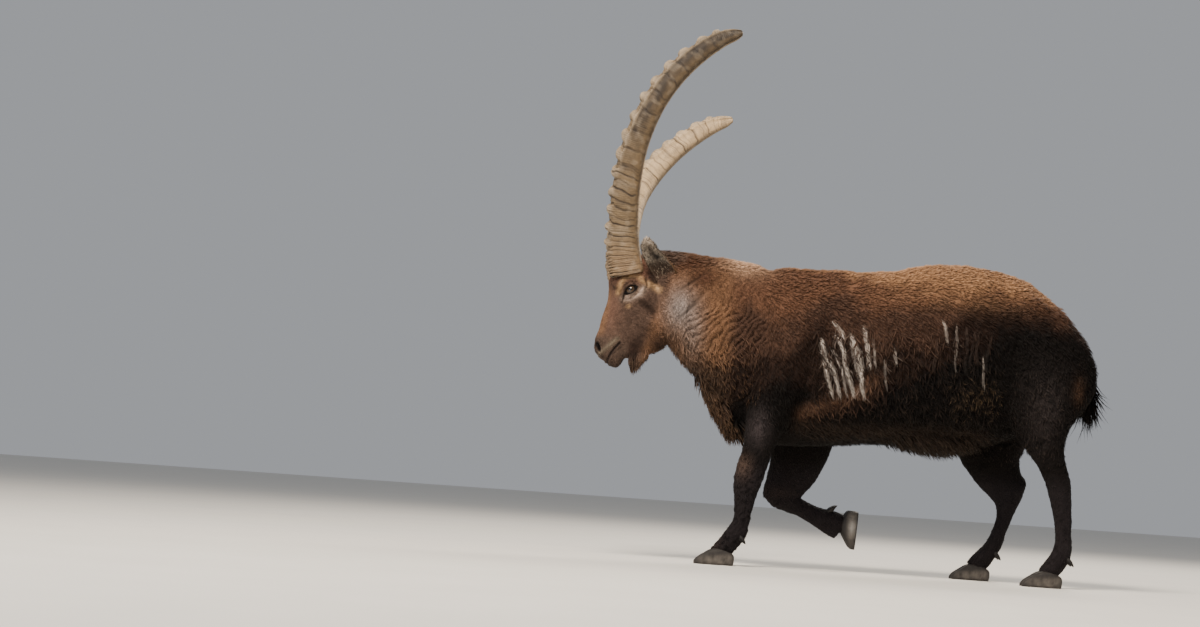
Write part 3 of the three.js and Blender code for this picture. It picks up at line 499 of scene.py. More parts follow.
# The head on its own fine net, smoothed and then folded, and the body on a coarser one, smoothed most where
# legs join the trunk. The two overlap a little in the neck.
def makeSkin():
    neck = closedForm(loftPoints(neckRows, *skin["neckNet"], -skin["headInset"] - 2))
    headPoints, headTriangles = remeshed(headForms(skin["headInset"]) + [(turnNeck(neck[0]), neck[1])],
                                         skin["headNet"])
    keep = headPoints[headTriangles][:, :, 0].max(1) < skin["headEnd"]
    headPoints, headTriangles = tidied(headPoints, headTriangles[keep])
    edges = edgesOf(headTriangles)
    headPoints = smoothed(headPoints, edges, 10)
    local = turnHead(headPoints, back=True)
    normals = pointNormals(headPoints, headTriangles)
    headPoints = headPoints + normals * faceFolds(local)[:, None]
    headPoints = smoothed(headPoints, edges, 2)
    bodyPoints, bodyTriangles = remeshed(bodyForms() + headForms(skin["headInset"] + 1.0), skin["bodyNet"])
    keep = bodyPoints[bodyTriangles][:, :, 0].min(1) > skin["bodyStart"]
    bodyPoints, bodyTriangles = tidied(bodyPoints, bodyTriangles[keep])
    edges = edgesOf(bodyTriangles)
    x, _, z = bodyPoints.T
    shoulder = ramp(-480, -430, x) * (1 - ramp(-160, -110, x)) * ramp(400, 470, z)
    hip = ramp(150, 210, x) * (1 - ramp(520, 560, x)) * ramp(430, 520, z)
    melt = np.clip(0.25 + shoulder + hip, 0, 1)
    bodyPoints = smoothed(bodyPoints, edges, 26, melt)
    normals = pointNormals(bodyPoints, bodyTriangles)
    bodyPoints = bodyPoints + normals * bodyFolds(bodyPoints)[:, None]
    return joinForms([(headPoints, headTriangles), (bodyPoints, bodyTriangles)])


# Only the points that the triangles use, numbered anew.
def tidied(points, triangles):
    used, triangles = np.unique(triangles, return_inverse=True)
    return points[used], triangles.reshape(-1, 3)


skinPoints, skinTriangles = makeSkin()
skinNormals = pointNormals(skinPoints, skinTriangles)
print("skin", len(skinTriangles), "triangles")


# Markings: one rule for skin and coat, worked out from the place on the body. The colours are the coat's own.
coatColours = {
    "tan": "#a67d5b", "warm": "#694a38", "flank": "#4b362b", "dark": "#281b15", "black": "#0f0b09",
    "withers": "#c9a384", "rustNeck": "#836046", "lilac": "#978a84", "crest": "#4a3023", "chest": "#46362b",
    "belly": "#2e241d", "patch": "#5f4637", "streak": "#a4958a", "cannon": "#262123", "thigh": "#383130",
    "forearm": "#484041", "carpus": "#6a5548", "buttockEdgeAndRimLight": "#4a3527", "face": "#554339", "forehead": "#785646",
    "noseStrip": "#775943", "muzzle": "#4f4037", "lipPale": "#6f6455", "lips": "#1f1918", "jaw": "#30231d",
    "eyePale": "#ab9585", "brow": "#a3835f", "cream": "#b3916b", "eyeRim": "#0f0b0a", "smudge": "#2b1f19"}
coatColours = {name: linear(value) for name, value in coatColours.items()}
# Heights where one colour of the trunk turns into the next, at the same places along the body. The bands run
# from tan on the back to black low down: partly the coat's own colours, partly painted light on the back and
# painted shade on the lower flank, belly and legs.
edgesAt = (
    -540, -500, -460, -410, -360, -310, -260, -210, -160, -110, -60, 0, 50, 90, 140, 190, 240, 290, 340, 390,
    440, 500)
coatAndShadeEdges = {
    "warm": ((860, 860, 862, 864, 864, 860, 854, 846, 832, 818, 812, 814, 812, 812, 814, 815, 814, 806, 808,
        795, 775, 742), 26),
    "flank": ((640, 680, 735, 690, 690, 705, 765, 790, 748, 724, 744, 750, 754, 768, 782, 788, 786, 785, 780,
        764, 752, 716), 34),
    "dark": ((545, 575, 580, 600, 584, 626, 682, 668, 636, 600, 648, 640, 660, 692, 730, 750, 757, 758, 752,
        744, 732, 690), 34),
    "black": ((420, 440, 478, 480, 510, 516, 508, 452, 478, 492, 530, 560, 585, 600, 626, 648, 708, 724, 715,
        712, 700, 655), 32)}


# 1 below the named height and 0 above it, over its own width.
def edgeSoft(name, x, z, wobble):
    heights, width = coatAndShadeEdges[name]
    line = np.interp(x, edgesAt, heights)
    return ramp(line + width, line - width, z + 0.5 * width * wobble)


# Streaks of pale rubbed hair on the flank, each from its brightness and its places as x, height and width.
streaks = (
    (0.80, ((-256, 642, 7), (-250, 612, 8))),
    (0.80, ((-258, 606, 3), (-239, 591, 7), (-227, 575, 10), (-218, 553, 9), (-202, 502, 4))),
    (0.90, ((-249, 584, 3), (-238, 555, 10), (-231, 525, 7), (-222, 498, 4))),
    (0.60, ((-227, 692, 6), (-214, 681, 7), (-202, 662, 9))),
    (0.90, ((-220, 653, 4), (-199, 627, 7), (-196, 602, 6), (-189, 572, 7), (-181, 550, 12), (-171, 523, 9),
        (-164, 504, 4))),
    (0.50, ((-232, 619, 4), (-220, 609, 7), (-208, 584, 3))),
    (0.50, ((-181, 639, 3), (-172, 618, 4), (-156, 558, 3))),
    (1.00, ((-178, 659, 4), (-167, 637, 10), (-160, 616, 14), (-153, 591, 13), (-146, 564, 10),
        (-143, 536, 6), (-138, 503, 4))),
    (0.85, ((-142, 681, 9), (-137, 653, 8), (-132, 620, 6), (-125, 588, 4))),
    (0.35, ((-116, 649, 4), (-110, 620, 4), (-111, 588, 3))),
    (0.50, ((-198, 566, 3), (-194, 538, 4), (-184, 506, 3))),
    (0.30, ((-82, 596, 3), (-81, 563, 4), (-77, 530, 3))),
    (0.02, ((140, 700, 4), (146, 640, 5), (138, 590, 4))),
    (0.02, ((165, 690, 4), (160, 640, 4), (150, 600, 4))),
    (0.02, ((180, 700, 3), (170, 655, 4), (172, 610, 3))), (0.02, ((60, 660, 4), (58, 620, 5), (50, 585, 4))),
    (0.02, ((215, 690, 4), (205, 640, 5), (198, 600, 3))), (0.50, ((-58, 626, 4), (-54, 604, 6))),
    (0.45, ((76, 713, 4), (83, 691, 7), (84, 669, 3))), (0.30, ((112, 707, 3), (115, 652, 3), (110, 596, 2))),
    (0.30, ((192, 626, 3), (194, 582, 3), (193, 552, 2))))


# Linear colours for layout points: each named colour is laid over the last by a soft-edged share.
def paintMarkings(points):
    x, y, z = points.T
    side = np.abs(y)
    wobble = ripple(points, 120, 21) + 0.5 * ripple(points, 38, 22)
    colour = np.tile(coatColours["tan"], (len(points), 1))

    # The named colour over the last ones by its share.
    def lay(name, share):
        nonlocal colour
        share = np.clip(share, 0, 1)[:, None]
        colour = colour * (1 - share) + coatColours[name] * share

    # A bell in x and height at once.
    def spot(px, pz, middleX, middleZ, wide, high):
        return np.exp(-(((px - middleX) / wide) ** 2) - ((pz - middleZ) / high) ** 2)

    # Tan to black from the back downwards: the coat's own colours with painted light above and painted shade
    # below.
    for name in ("warm", "flank", "dark", "black"):
        lay(name, edgeSoft(name, x, z, wobble))
    # Paler loin and a pale spot over the withers: partly the coat's own colour, partly painted light falling
    # on top of the back.
    lay("tan", 0.35 * spot(x, z, 110, 790, 190, 36))
    lay("withers", spot(x, z, -478, 852, 70, 36))
    neck = ramp(-480, -540, x)
    lay("rustNeck", neck * ramp(500, 600, z) * ramp(860, 800, z) * 0.85)
    lay("chest", neck * ramp(600, 520, z + 16 * wobble) * 0.8)
    lay("lilac", spot(x, z, -652, 706, 44, 62) * 0.95 * ramp(-540, -580, x))
    lay("lilac", spot(x, z, -612, 640, 30, 70) * 0.45)
    lay("crest", np.maximum(spot(x, z, -628, 850, 78, 40), spot(x, z, -590, 800, 46, 36)) * 0.9)
    trail = distanceToLine(x, z, [(-290, 432), (-225, 468), (-160, 500), (-110, 540)])
    lay("patch", bump(trail, 0, 20) * ramp(40, 90, side) * (0.9 + 0.25 * wobble))
    # Painted light: a paler band along the underside of the belly, where light thrown up from the ground
    # falls on it.
    lay("belly", bump(z, 402 + 0.02 * x, 20) * ramp(-340, -290, x) * ramp(260, 190, x) * 0.8)
    # Paler rear edge of the rump: partly the coat's own colour, partly painted rim light.
    lay("buttockEdgeAndRimLight", spot(x, z, 462, 548, 18, 34) * 0.8)
    # Painted sheen: lighter, cooler patches on the outer thigh and forearm where light glances off the short
    # glossy hair.
    lay("thigh", spot(x, z, 372, 480, 52, 105) * 0.75 * ramp(40, 90, side))
    lay("forearm", spot(x, z, -414, 388, 30, 50) * 0.7 * ramp(40, 90, side))
    lay("carpus", spot(x, z, -452, 268, 24, 30) * 0.95)
    lay("carpus", spot(x, z, -330, 212, 40, 20) * bump(side, 104, 30) * 0.55)
    lay("cannon", ramp(330, 250, z) * 0.7)
    rubbed = np.zeros(len(points))
    for bright, line in streaks:
        line = np.array(line, float)
        near = distanceToLine(x, z, line[:, :2])
        rubbed = np.maximum(rubbed, bright * bump(near, 0, 0.55 * line[:, 2].mean() + 1.5))
    lay("streak", 0.32 * rubbed * np.where(y < 0, 1, 0.4) * ramp(60, 90, side))

    local = turnHead(points, back=True)
    hx, hy, hz = local.T
    u, v = eyePlace(local)
    away = np.hypot(u, v)
    head = ramp(-676, -712, hx - 0.35 * (hz - 740)) * ramp(-600, -640, x)
    onSide = head * ramp(24, 38, np.abs(hy))
    # Painted shadow under the jaw, over the coat's own dark brown.
    lay("jaw", ramp(-600, -640, x) * spot(hx, hz, -700, 598, 44, 32) * 0.9)
    lay("face", head)
    lay("forehead", head * ramp(745, 790, hz) * ramp(-730, -760, hx))
    lay("forehead", head * 0.5 * spot(hx, hz, -850, 690, 30, 60))
    # The lower jaw darker: its own dark brown and painted shade beneath the head.
    lay("jaw", head * ramp(655, 590, hz - 0.35 * (hx + 740)) * ramp(-812, -776, hx))
    lay("lips", head * ramp(600, 566, hz - 0.35 * (hx + 700)) * ramp(-770, -740, hx) * 0.8)
    lay("muzzle", head * ramp(625, 588, hz + 0.25 * (hx + 860)) * ramp(-780, -800, hx))
    lay("noseStrip", head * ramp(-846, -864, hx - 0.1 * (hz - 660)) * ramp(600, 632, hz) * ramp(780, 730, hz))
    lay("lipPale", head * alongLine(hx, hz, "upperLip", 7) * 0.75)
    lay("lips", head * alongLine(hx, hz, "mouth", 3.4) * 0.95)
    lay("lips", head * ramp(540, 520, hz) * 0.75)
    # Nostril openings near black: their dark skin and painted shade of the opening.
    lay("eyeRim", head * (1 - ramp(0.75, 1.25, nostrilPlace(local))) * ramp(6, 12, np.abs(hy)))
    lay("brow", onSide * alongLine(hx, hz, "browMark", 8.5) * (0.85 + 0.25 * ripple(points, 14, 27)))
    lay("eyePale", onSide * alongLine(hx, hz, "lidMark", 9.5))
    lay("cream", onSide * np.maximum(alongLine(hx, hz, "templeMark", 9),
                                     0.7 * spot(hx, hz, -796, 695, 7, 6))
        * (0.8 + 0.3 * ripple(points, 12, 28)))
    for name, width, strength in (("cornerMark", 3, 0.8), ("tearMark", 3.6, 0.85), ("cheekMark", 11, 0.85)):
        lay("smudge", onSide * alongLine(hx, hz, name, width) * strength)
    lay("smudge", onSide * 0.35 * ramp(0.1, 0.6, ripple(local * [0.6, 1, 1.6], 26, 29)))
    lay("eyeRim", onSide * (1 - ramp(1.02, 1.2, away * (1 - 0.16 * np.abs(u / np.maximum(away, 0.1)) ** 6))))
    # Random tone, and painted shade that darkens the colour in the coat's creases, though not on the head.
    tone = ((1 + 0.12 * ripple(points, 26, 23)) * (1 + 0.08 * ripple(points, 9, 24))
            * (1 - 0.78 * creases(points) * (1 - head)))
    return colour * tone[:, None]


# Materials: every constant sits on the shader's own socket, and patterns follow the object's own coordinates.
def addNode(tree, kind, settings=None, inputs=None, links=None):
    node = tree.nodes.new("ShaderNode" + kind)
    for key, value in (settings or {}).items():
        setattr(node, key, value)
    for key, value in (inputs or {}).items():
        node.inputs[key].default_value = value
    for key, (source, output) in (links or {}).items():
        tree.links.new(source.outputs[output], node.inputs[key])
    return node


# A new material's tree with its shader, and the object's own coordinates.
def startMaterial(name, **shader):
    material = bpy.data.materials.new(name)
    material.use_nodes = True
    tree = material.node_tree
    tree.nodes.clear()
    surface = addNode(tree, "BsdfPrincipled", inputs=shader)
    addNode(tree, "OutputMaterial", links={"Surface": (surface, "BSDF")})
    return material, tree, surface, addNode(tree, "TexCoord")


# A colour for a socket: linear red, green and blue with a full fourth value.
def paint(hexColour):
    return (*linear(hexColour), 1.0)


# Dry guard hair: matt, with a faint sheen along the edges. Its colour comes from the markings and is
# streaked finely at a strand's width, drawn a few times coarser than one hair so that it shows.
def hairMaterial(name, strandMm, contrast, bumpMm, roughness):
    material, tree, surface, place = startMaterial(name, **{
        "Roughness": roughness, "IOR": 1.5, "Specular IOR Level": 0.1, "Sheen Weight": 0.01,
                                                            "Sheen Roughness": 0.5})
    tint = addNode(tree, "Attribute", {"attribute_name": "markings"})
    turned = addNode(tree, "Mapping", inputs={"Rotation": (0, 0.55, 0), "Scale": (0.22, 1, 1)},
                     links={"Vector": (place, "Object")})
    strands = addNode(tree, "TexNoise", inputs={"Scale": 1000 / strandMm, "Detail": 3.0, "Roughness": 0.6},
                      links={"Vector": (turned, "Vector")})
    shade = addNode(tree, "MapRange", inputs={"From Min": 0.3, "From Max": 0.7, "To Min": 1 - contrast,
                    "To Max": 1 + contrast}, links={"Value": (strands, "Fac")})
    colour = addNode(tree, "VectorMath", {"operation": "SCALE"},
                     links={0: (tint, "Color"), "Scale": (shade, "Result")})
    relief = addNode(tree, "Bump", inputs={"Strength": 0.7, "Distance": bumpMm / 1000},
                     links={"Height": (strands, "Fac")})
    tree.links.new(colour.outputs["Vector"], surface.inputs["Base Color"])
    tree.links.new(relief.outputs["Normal"], surface.inputs["Normal"])
    return material


# Keratin sheath, weathered: dull khaki, paler and drier on the worn crests, darker in the sunken hollows,
# with fine growth lines about 2 mm apart across it. Its colour comes from the markings, which also hold
# painted light and shade.
def hornMaterial(name):
    material, tree, surface, place = startMaterial(name, **{"Roughness": 0.62, "IOR": 1.54,
                                                            "Specular IOR Level": 0.35})
    tint = addNode(tree, "Attribute", {"attribute_name": "markings"})
    cloud = addNode(tree, "TexNoise", inputs={"Scale": 1000 / 22, "Detail": 6.0, "Roughness": 0.7},
                    links={"Vector": (place, "Object")})
    along = addNode(tree, "Attribute", {"attribute_name": "along"})
    lines = addNode(tree, "Math", {"operation": "SINE"}, links={0: (along, "Fac")})
    grain = addNode(tree, "TexNoise", inputs={"Scale": 1000 / 1.6, "Detail": 4.0},
                    links={"Vector": (place, "Object")})
    shade = addNode(tree, "MapRange",
                    inputs={"From Min": 0.28, "From Max": 0.72, "To Min": 0.66, "To Max": 1.25},
                    links={"Value": (cloud, "Fac")})
    lined = addNode(tree, "MapRange", inputs={"From Min": -1, "From Max": 1, "To Min": 0.86, "To Max": 1.06},
                    links={"Value": (lines, "Value")})
    both = addNode(tree, "Math", {"operation": "MULTIPLY"},
                   links={0: (shade, "Result"), 1: (lined, "Result")})
    colour = addNode(tree, "VectorMath", {"operation": "SCALE"},
                     links={0: (tint, "Color"), "Scale": (both, "Value")})
    height = addNode(tree, "Math", {"operation": "MULTIPLY_ADD"}, inputs={1: 0.5},
                     links={0: (lines, "Value"), 2: (grain, "Fac")})
    relief = addNode(tree, "Bump", inputs={"Strength": 0.55, "Distance": 0.0008},
                     links={"Height": (height, "Value")})
    rough = addNode(tree, "MapRange",
                    inputs={"From Min": 0.3, "From Max": 0.7, "To Min": 0.5, "To Max": 0.78},
                    links={"Value": (grain, "Fac")})
    tree.links.new(colour.outputs["Vector"], surface.inputs["Base Color"])
    tree.links.new(relief.outputs["Normal"], surface.inputs["Normal"])
    tree.links.new(rough.outputs["Result"], surface.inputs["Roughness"])
    return material


# Wet cornea over an amber iris with a wide, level pupil bar, dark at the iris's rim.
def eyeMaterial(name):
    material, tree, surface, place = startMaterial(name, **{
        "Roughness": 0.16, "IOR": 1.38, "Coat Weight": 0.25, "Coat Roughness": 0.08})
    bar = addNode(tree, "Attribute", {"attribute_name": "pupil"})
    iris = addNode(tree, "Attribute", {"attribute_name": "iris"})
    fibres = addNode(tree, "TexNoise", inputs={"Scale": 1000 / 1.4, "Detail": 3.0},
                     links={"Vector": (place, "Object")})
    amber = addNode(tree, "Mix", {"data_type": "RGBA"}, inputs={6: paint("#251b12"), 7: paint("#4b3a27")},
                    links={0: (fibres, "Fac")})
    rimmed = addNode(tree, "Mix", {"data_type": "RGBA"}, inputs={7: paint("#1a120c")},
                     links={0: (iris, "Fac"), 6: (amber, 2)})
    pupil = addNode(tree, "Mix", {"data_type": "RGBA"}, inputs={7: paint("#060505")},
                    links={0: (bar, "Fac"), 6: (rimmed, 2)})
    tree.links.new(pupil.outputs[2], surface.inputs["Base Color"])
    return material


skinMaterial = hairMaterial("short_coat_on_skin", 2.2, 0.25, 1.2, 0.85)
tuftMaterial = hairMaterial("guard_hair_tufts", 1.4, 0.22, 0.4, 0.62)
hornSheath = hornMaterial("weathered_horn_keratin")
hoofSheath = hornMaterial("worn_hoof_keratin")
wetEye = eyeMaterial("wet_eye_cornea")


# Gives a piece its one material and its body, and hides the nodes that it replaces. slot is not used.
def finishPiece(piece, material, slot, *nodes):
    piece.data.materials.clear()
    piece.data.materials.append(material)
    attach(piece, "root")
    if nodes:
        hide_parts(*nodes)
    return piece


# A piece made for the animal's right: mirrored for the left, turned with the head, and finished.
def headPiece(label, side, form, material, slot, node=None, colour=None, extra=None):
    points, triangles = mirrored(form) if side < 0 else form
    piece = makeMesh(f"{label}_{sideNames[side]}", turnHead(points), triangles, colour, extra)
    finishPiece(piece, material, slot, *([f"{node}_{sideNames[side]}"] if node else []))


sideNames = {1: "right", -1: "left"}
fleshNodes = [
    "torso", "neck", "head", "tail", "forearm_left", "forearm_right", "cannon_fore_left", "cannon_fore_right",
    "thigh_left", "thigh_right", "cannon_hind_left", "cannon_hind_right"]
# The skin's colour is darkened by its tone: painted shade of the coat where skin shows between the tufts,
# partly the darker undercoat.
skinPiece = makeMesh("skin", skinPoints, skinTriangles, paintMarkings(skinPoints) * skin["tone"])
finishPiece(skinPiece, skinMaterial, "body_fur", *fleshNodes)

# Horns: a ring carried along a curve through the named places. Knobs stand along the front, grooves run right
# round between them, closer and wavier towards the base, and fine growth lines lie over everything.
# Of the colours, inner is the painted lit copy of the wall's keratin, and tip serves as painted shade on the
# outer wall.
horn = {
    "rings": 640, "sides": 56, "ridgeDepth": 11.0, "knobs": 14, "knobTop": 0.89, "knobStep": 0.054,
    "baseRidges": 8, "baseTop": 0.145, "baseStep": 0.018, "grooveMm": 2.1, "grooveStep": 0.0235,
    "grooves": 19, "cracks": 70, "tipFrom": 0.95, "forward": (-1, -0.12, 0.35), "sunkenMm": 1.6,
    "edgeMm": 2.4, "growthMm": 2.3, "seed": 31, "crest": "#a4937c", "wall": "#7a6549", "inner": "#c4a985",
    "patch": "#2c2219", "line": "#2b2018", "base": "#8a6d50", "tip": "#33291f"}
hornRows = np.array([
    (-807, 41, 788, 102, 68), (-822, 56, 842, 102, 68), (-830, 90, 918, 96, 66), (-827, 158, 1024, 89, 63),
    (-808, 224, 1126, 84, 59), (-763, 279, 1228, 78, 55), (-693, 308, 1324, 72, 50),
    (-597, 322, 1404, 58, 41), (-529, 323, 1431, 35, 27)], float)


# Centripetal Catmull-Rom: each stretch's tangents are weighed by the square roots of the chords.
def curveThrough(points, t):
    points = np.vstack([2 * points[0] - points[1], points, 2 * points[-1] - points[-2]])
    place = np.clip(t, 0, 1) * (len(points) - 3)
    i = np.minimum(place.astype(int), len(points) - 4)
    f = (place - i)[:, None]
    p0, p1, p2, p3 = (points[i + k] for k in range(4))
    d0, d1, d2 = (np.linalg.norm(b - a, axis=1, keepdims=True) ** 0.5
                  for a, b in ((p0, p1), (p1, p2), (p2, p3)))
    m1 = d1 * ((p1 - p0) / d0 - (p2 - p0) / (d0 + d1) + (p2 - p1) / d1)
    m2 = d1 * ((p2 - p1) / d1 - (p3 - p1) / (d1 + d2) + (p3 - p2) / d2)
    return p1 + m1 * f + (-3 * p1 + 3 * p2 - 2 * m1 - m2) * f**2 + (2 * p1 - 2 * p2 + m1 + m2) * f**3


# The tallest of a row of rounded humps, each as wide as its reach, at every place.
def tallest(place, centres, heights, reach):
    best = np.zeros_like(place)
    for centre, height in zip(centres, heights):
        best = np.maximum(best, height * np.clip(1 - ((place - centre) / reach) ** 2, 0, 1) ** 0.8)
    return best


# Each ring stands across the curve: forward by the profile's depth and out by its width, both less the gaps
# between knobs, the grooves, the cracks and two fine sines.
def makeHorn(side):
    random = np.random.default_rng(horn["seed"] + side)
    t = np.linspace(0, 1, horn["rings"])
    row = blendRows(hornRows, t)
    at = curveThrough(hornRows[:, :3], t)
    along = np.gradient(at, axis=0)
    along /= np.linalg.norm(along, axis=1, keepdims=True)
    forwards = np.array(horn["forward"])
    front = forwards[None] - along * (along @ forwards)[:, None]
    front /= np.linalg.norm(front, axis=1, keepdims=True)
    across = np.cross(along, front)
    close = np.where(t > horn["tipFrom"], 1 - (np.maximum(t - horn["tipFrom"], 0) / 0.05) ** 2 * 0.45,
                     1)[:, None]
    angle = np.linspace(0, 2 * np.pi, horn["sides"], endpoint=False)[None]
    # Round the ring: f runs 1 at the front to 0 at the back, share is the part of the half width.
    c, s = np.cos(angle), np.sin(angle)
    f = 0.5 + 0.5 * np.sign(c) * np.abs(c) ** 0.72
    share = (np.sign(s) * np.abs(s) ** 0.62 * np.interp(f, [0, 0.16, 0.42, 0.62, 0.8, 0.92, 1],
                                                        [0.72, 0.86, 0.98, 0.93, 0.99, 1.0, 0.94]))
    length = np.concatenate([[0], np.cumsum(np.linalg.norm(np.diff(at, axis=0), axis=1))])[:, None]
    # Grooves and knobs run up a little towards the back and wander as they go round.
    wander = 0.0028 * np.sin(3 * angle + 23 * t[:, None]) + 0.0016 * np.sin(7 * angle - 61 * t[:, None])
    place = t[:, None] + 0.016 * (1 - f) ** 1.2 * ramp(0.75, 0.2, t)[:, None] + wander
    knobAt = (horn["knobTop"] - horn["knobStep"] * np.arange(horn["knobs"])
              + random.uniform(-0.005, 0.005, horn["knobs"]))
    knob = tallest(place, knobAt, random.uniform(0.8, 1.1, horn["knobs"]), 0.27 * horn["knobStep"]) ** 0.8
    baseAt = (horn["baseTop"] - horn["baseStep"] * np.arange(horn["baseRidges"])
              + random.uniform(-0.003, 0.003, horn["baseRidges"]))
    base = ramp(0.168, 0.148, t)[:, None]
    knob = (knob * (1 - base)
            + base * (0.25 + tallest(place, baseAt, random.uniform(0.4, 0.75, horn["baseRidges"]),
                                     0.4 * horn["baseStep"])))
    knob = np.where(place > horn["knobTop"] + 0.03, 0.25, knob)
    # The knobs are bars on the front face that die out quickly on the sides.
    onFront = ramp(0.64, 0.88, f)
    depth, width = row[:, 3:4] * close, row[:, 4:5] * close
    innerFace = ramp(-0.1, 0.5, s)
    hollow = horn["ridgeDepth"] * (1 - knob) * np.minimum(1, depth / 70) * (1 - 0.35 * innerFace)
    grooveAt = np.sort(np.concatenate([np.arange(0.01, 0.44, horn["grooveStep"])
                                       + random.uniform(-0.006, 0.006, horn["grooves"]),
                                       knobAt[knobAt > 0.42] - 0.5 * horn["knobStep"]]))
    groove = tallest(place, grooveAt, random.uniform(0.45, 1.0, len(grooveAt)), 0.0042) ** 1.5
    crackAt = np.sort(random.uniform(0.02, 0.97, horn["cracks"]))
    crack = tallest(place + 0.4 * wander, crackAt, random.uniform(0.15, 1.0, horn["cracks"]), 0.0021)
    ripples = (0.42 * np.sin(2 * np.pi * length / 5.6 + 2.2 * np.sin(length / 21) + 2 * f + 90 * wander)
               + 0.22 * np.sin(2 * np.pi * length / 2.9 + 3 * np.sin(length / 13) - 1.5 * f + 140 * wander))
    ripples *= 0.6 + 0.4 * np.sin(length / 31 + 2.5 * f)
    cut = horn["grooveMm"] * groove
    forward = (f - 0.5) * depth - hollow * onFront + (ripples - cut - 0.9 * crack) * (0.4 + 0.6 * f)
    out = (0.5 * width - hollow * 0.10 * onFront + ripples - cut - 0.8 * crack) * share
    # Sunken places on the side walls between one knob and the next.
    sunken = (bump(f, 0.56, 0.17) * (1 - tallest(place, knobAt, np.ones(horn["knobs"]),
                                                 0.5 * horn["knobStep"])) * ramp(0.2, 0.42, t)[:, None])
    out -= horn["sunkenMm"] * sunken * share
    out += horn["edgeMm"] * bump(f, 0.70, 0.06) * ramp(0.3, 0.5, t)[:, None] * share
    grid = at[:, None] + front[:, None] * forward[..., None] + across[:, None] * out[..., None]
    points, triangles = closedForm(grid)
    points[-1] = at[-1] + along[-1] * 4
    age = np.repeat(t, horn["sides"])
    outer, flatF = (s + 0 * place < 0).ravel(), (f + 0 * place).ravel()
    cloud = ripple(grid.reshape(-1, 3), 34, 35 + side)
    blotch = ramp(-0.35, 0.5, ripple(grid.reshape(-1, 3) * [1, 1, 0.8], 48, 37 + side))
    # Inner face and outer wall are one keratin: the inner face is painted paler, as painted light.
    colour = np.where(outer[:, None], linear(horn["wall"]), linear(horn["inner"]))
    # Painted shade: the outer wall darkens from the middle of the horn upwards on its sides, where it faces
    # down, away from the light.
    paintedWallShade = outer * ramp(0.36, 0.62, age) * ramp(0.70, 0.60, flatF) * ramp(0.06, 0.3, flatF)
    colour = overlaid(colour, horn, (
        ("base", 0.5 * ramp(0.25, 0.05, age)), ("crest", 0.2 * ramp(0.7, 0.95, flatF)),
        ("crest", 0.8 * (knob * onFront).ravel() * ramp(0.12, 0.25, age)),
        ("patch", 0.9 * outer * np.clip(sunken.ravel() * 1.35, 0, 1) * (0.35 + 0.65 * blotch)),
        ("tip", 0.95 * paintedWallShade * (0.72 + 0.28 * blotch)),
        ("crest", 0.8 * outer * bump(flatF, 0.71, 0.05) * ramp(0.34, 0.5, age)),
        # Painted shade along the back edge of the upper horn.
        ("tip", 0.5 * ramp(0.16, 0.0, flatF) * ramp(0.3, 0.6, age)),
        ("line", 0.95 * (groove * ramp(0.0, 0.1, f)).ravel()),
        ("line", (crack * (0.35 + 0.3 * innerFace)).ravel()),
        ("line", 0.35 * ((1 - knob) * onFront).ravel() * (0.6 + 0.4 * cloud)),
        ("line", 0.6 * ramp(0.022, 0.0, age)), ("crest", 0.25 * ramp(0.1, 0.7, cloud))))
    # Painted shade: the outer side darkens further towards the tip, all but its front edge.
    colour = colour * (1 - 0.45 * outer * ramp(0.55, 0.9, age) * ramp(0.95, 0.75, flatF))[:, None]
    colour = np.vstack([colour, colour[:1], colour[-1:]])
    growth = ((length + 2.5 * np.sin(length / 19) + 260 * wander + 0 * angle).ravel() * 2
              * np.pi / horn["growthMm"])
    growth = np.concatenate([growth, [0, 0]])
    headPiece("horn_sheath", side, (points, triangles), hornSheath, "horn", "horn", colour, {"along": growth})


for side in (1, -1):
    makeHorn(side)
print("horns")

# Hooves: the same profile as the solids on a fine grid, flat underneath, with growth rings round the wall,
# and a painted highlight on the lifted fore hoof.
hoof = {
    "spacing": 32.0, "rings": 44, "sides": 36, "growthMm": 3.0, "spurRings": 12, "spurSides": 14,
    "wall": "#625b53", "paintedHoofHighlight": "#a39e97", "toe": "#26211e", "coronet": "#1d1815", "sole": "#2a2522",
    "spur": "#17120f"}
feet = {
    "fore_left": ((-462, -98, 0), 0.0, 0), "fore_right": ((-96, 106, 170), -math.pi / 2 + 0.06, 20),
    "hind_left": ((449, -99, 0), 0.0, 0), "hind_right": ((287, 109, 0), 0.0, 0)}


# Half a turn about Z, a turn about Y, then to the heel.
def placeFoot(points, heel, turn):
    x, y, z = -points[:, 0], -points[:, 1], points[:, 2]
    x, z = x * math.cos(turn) + z * math.sin(turn), -x * math.sin(turn) + z * math.cos(turn)
    return np.stack([x, y, z], -1) + np.array(heel)


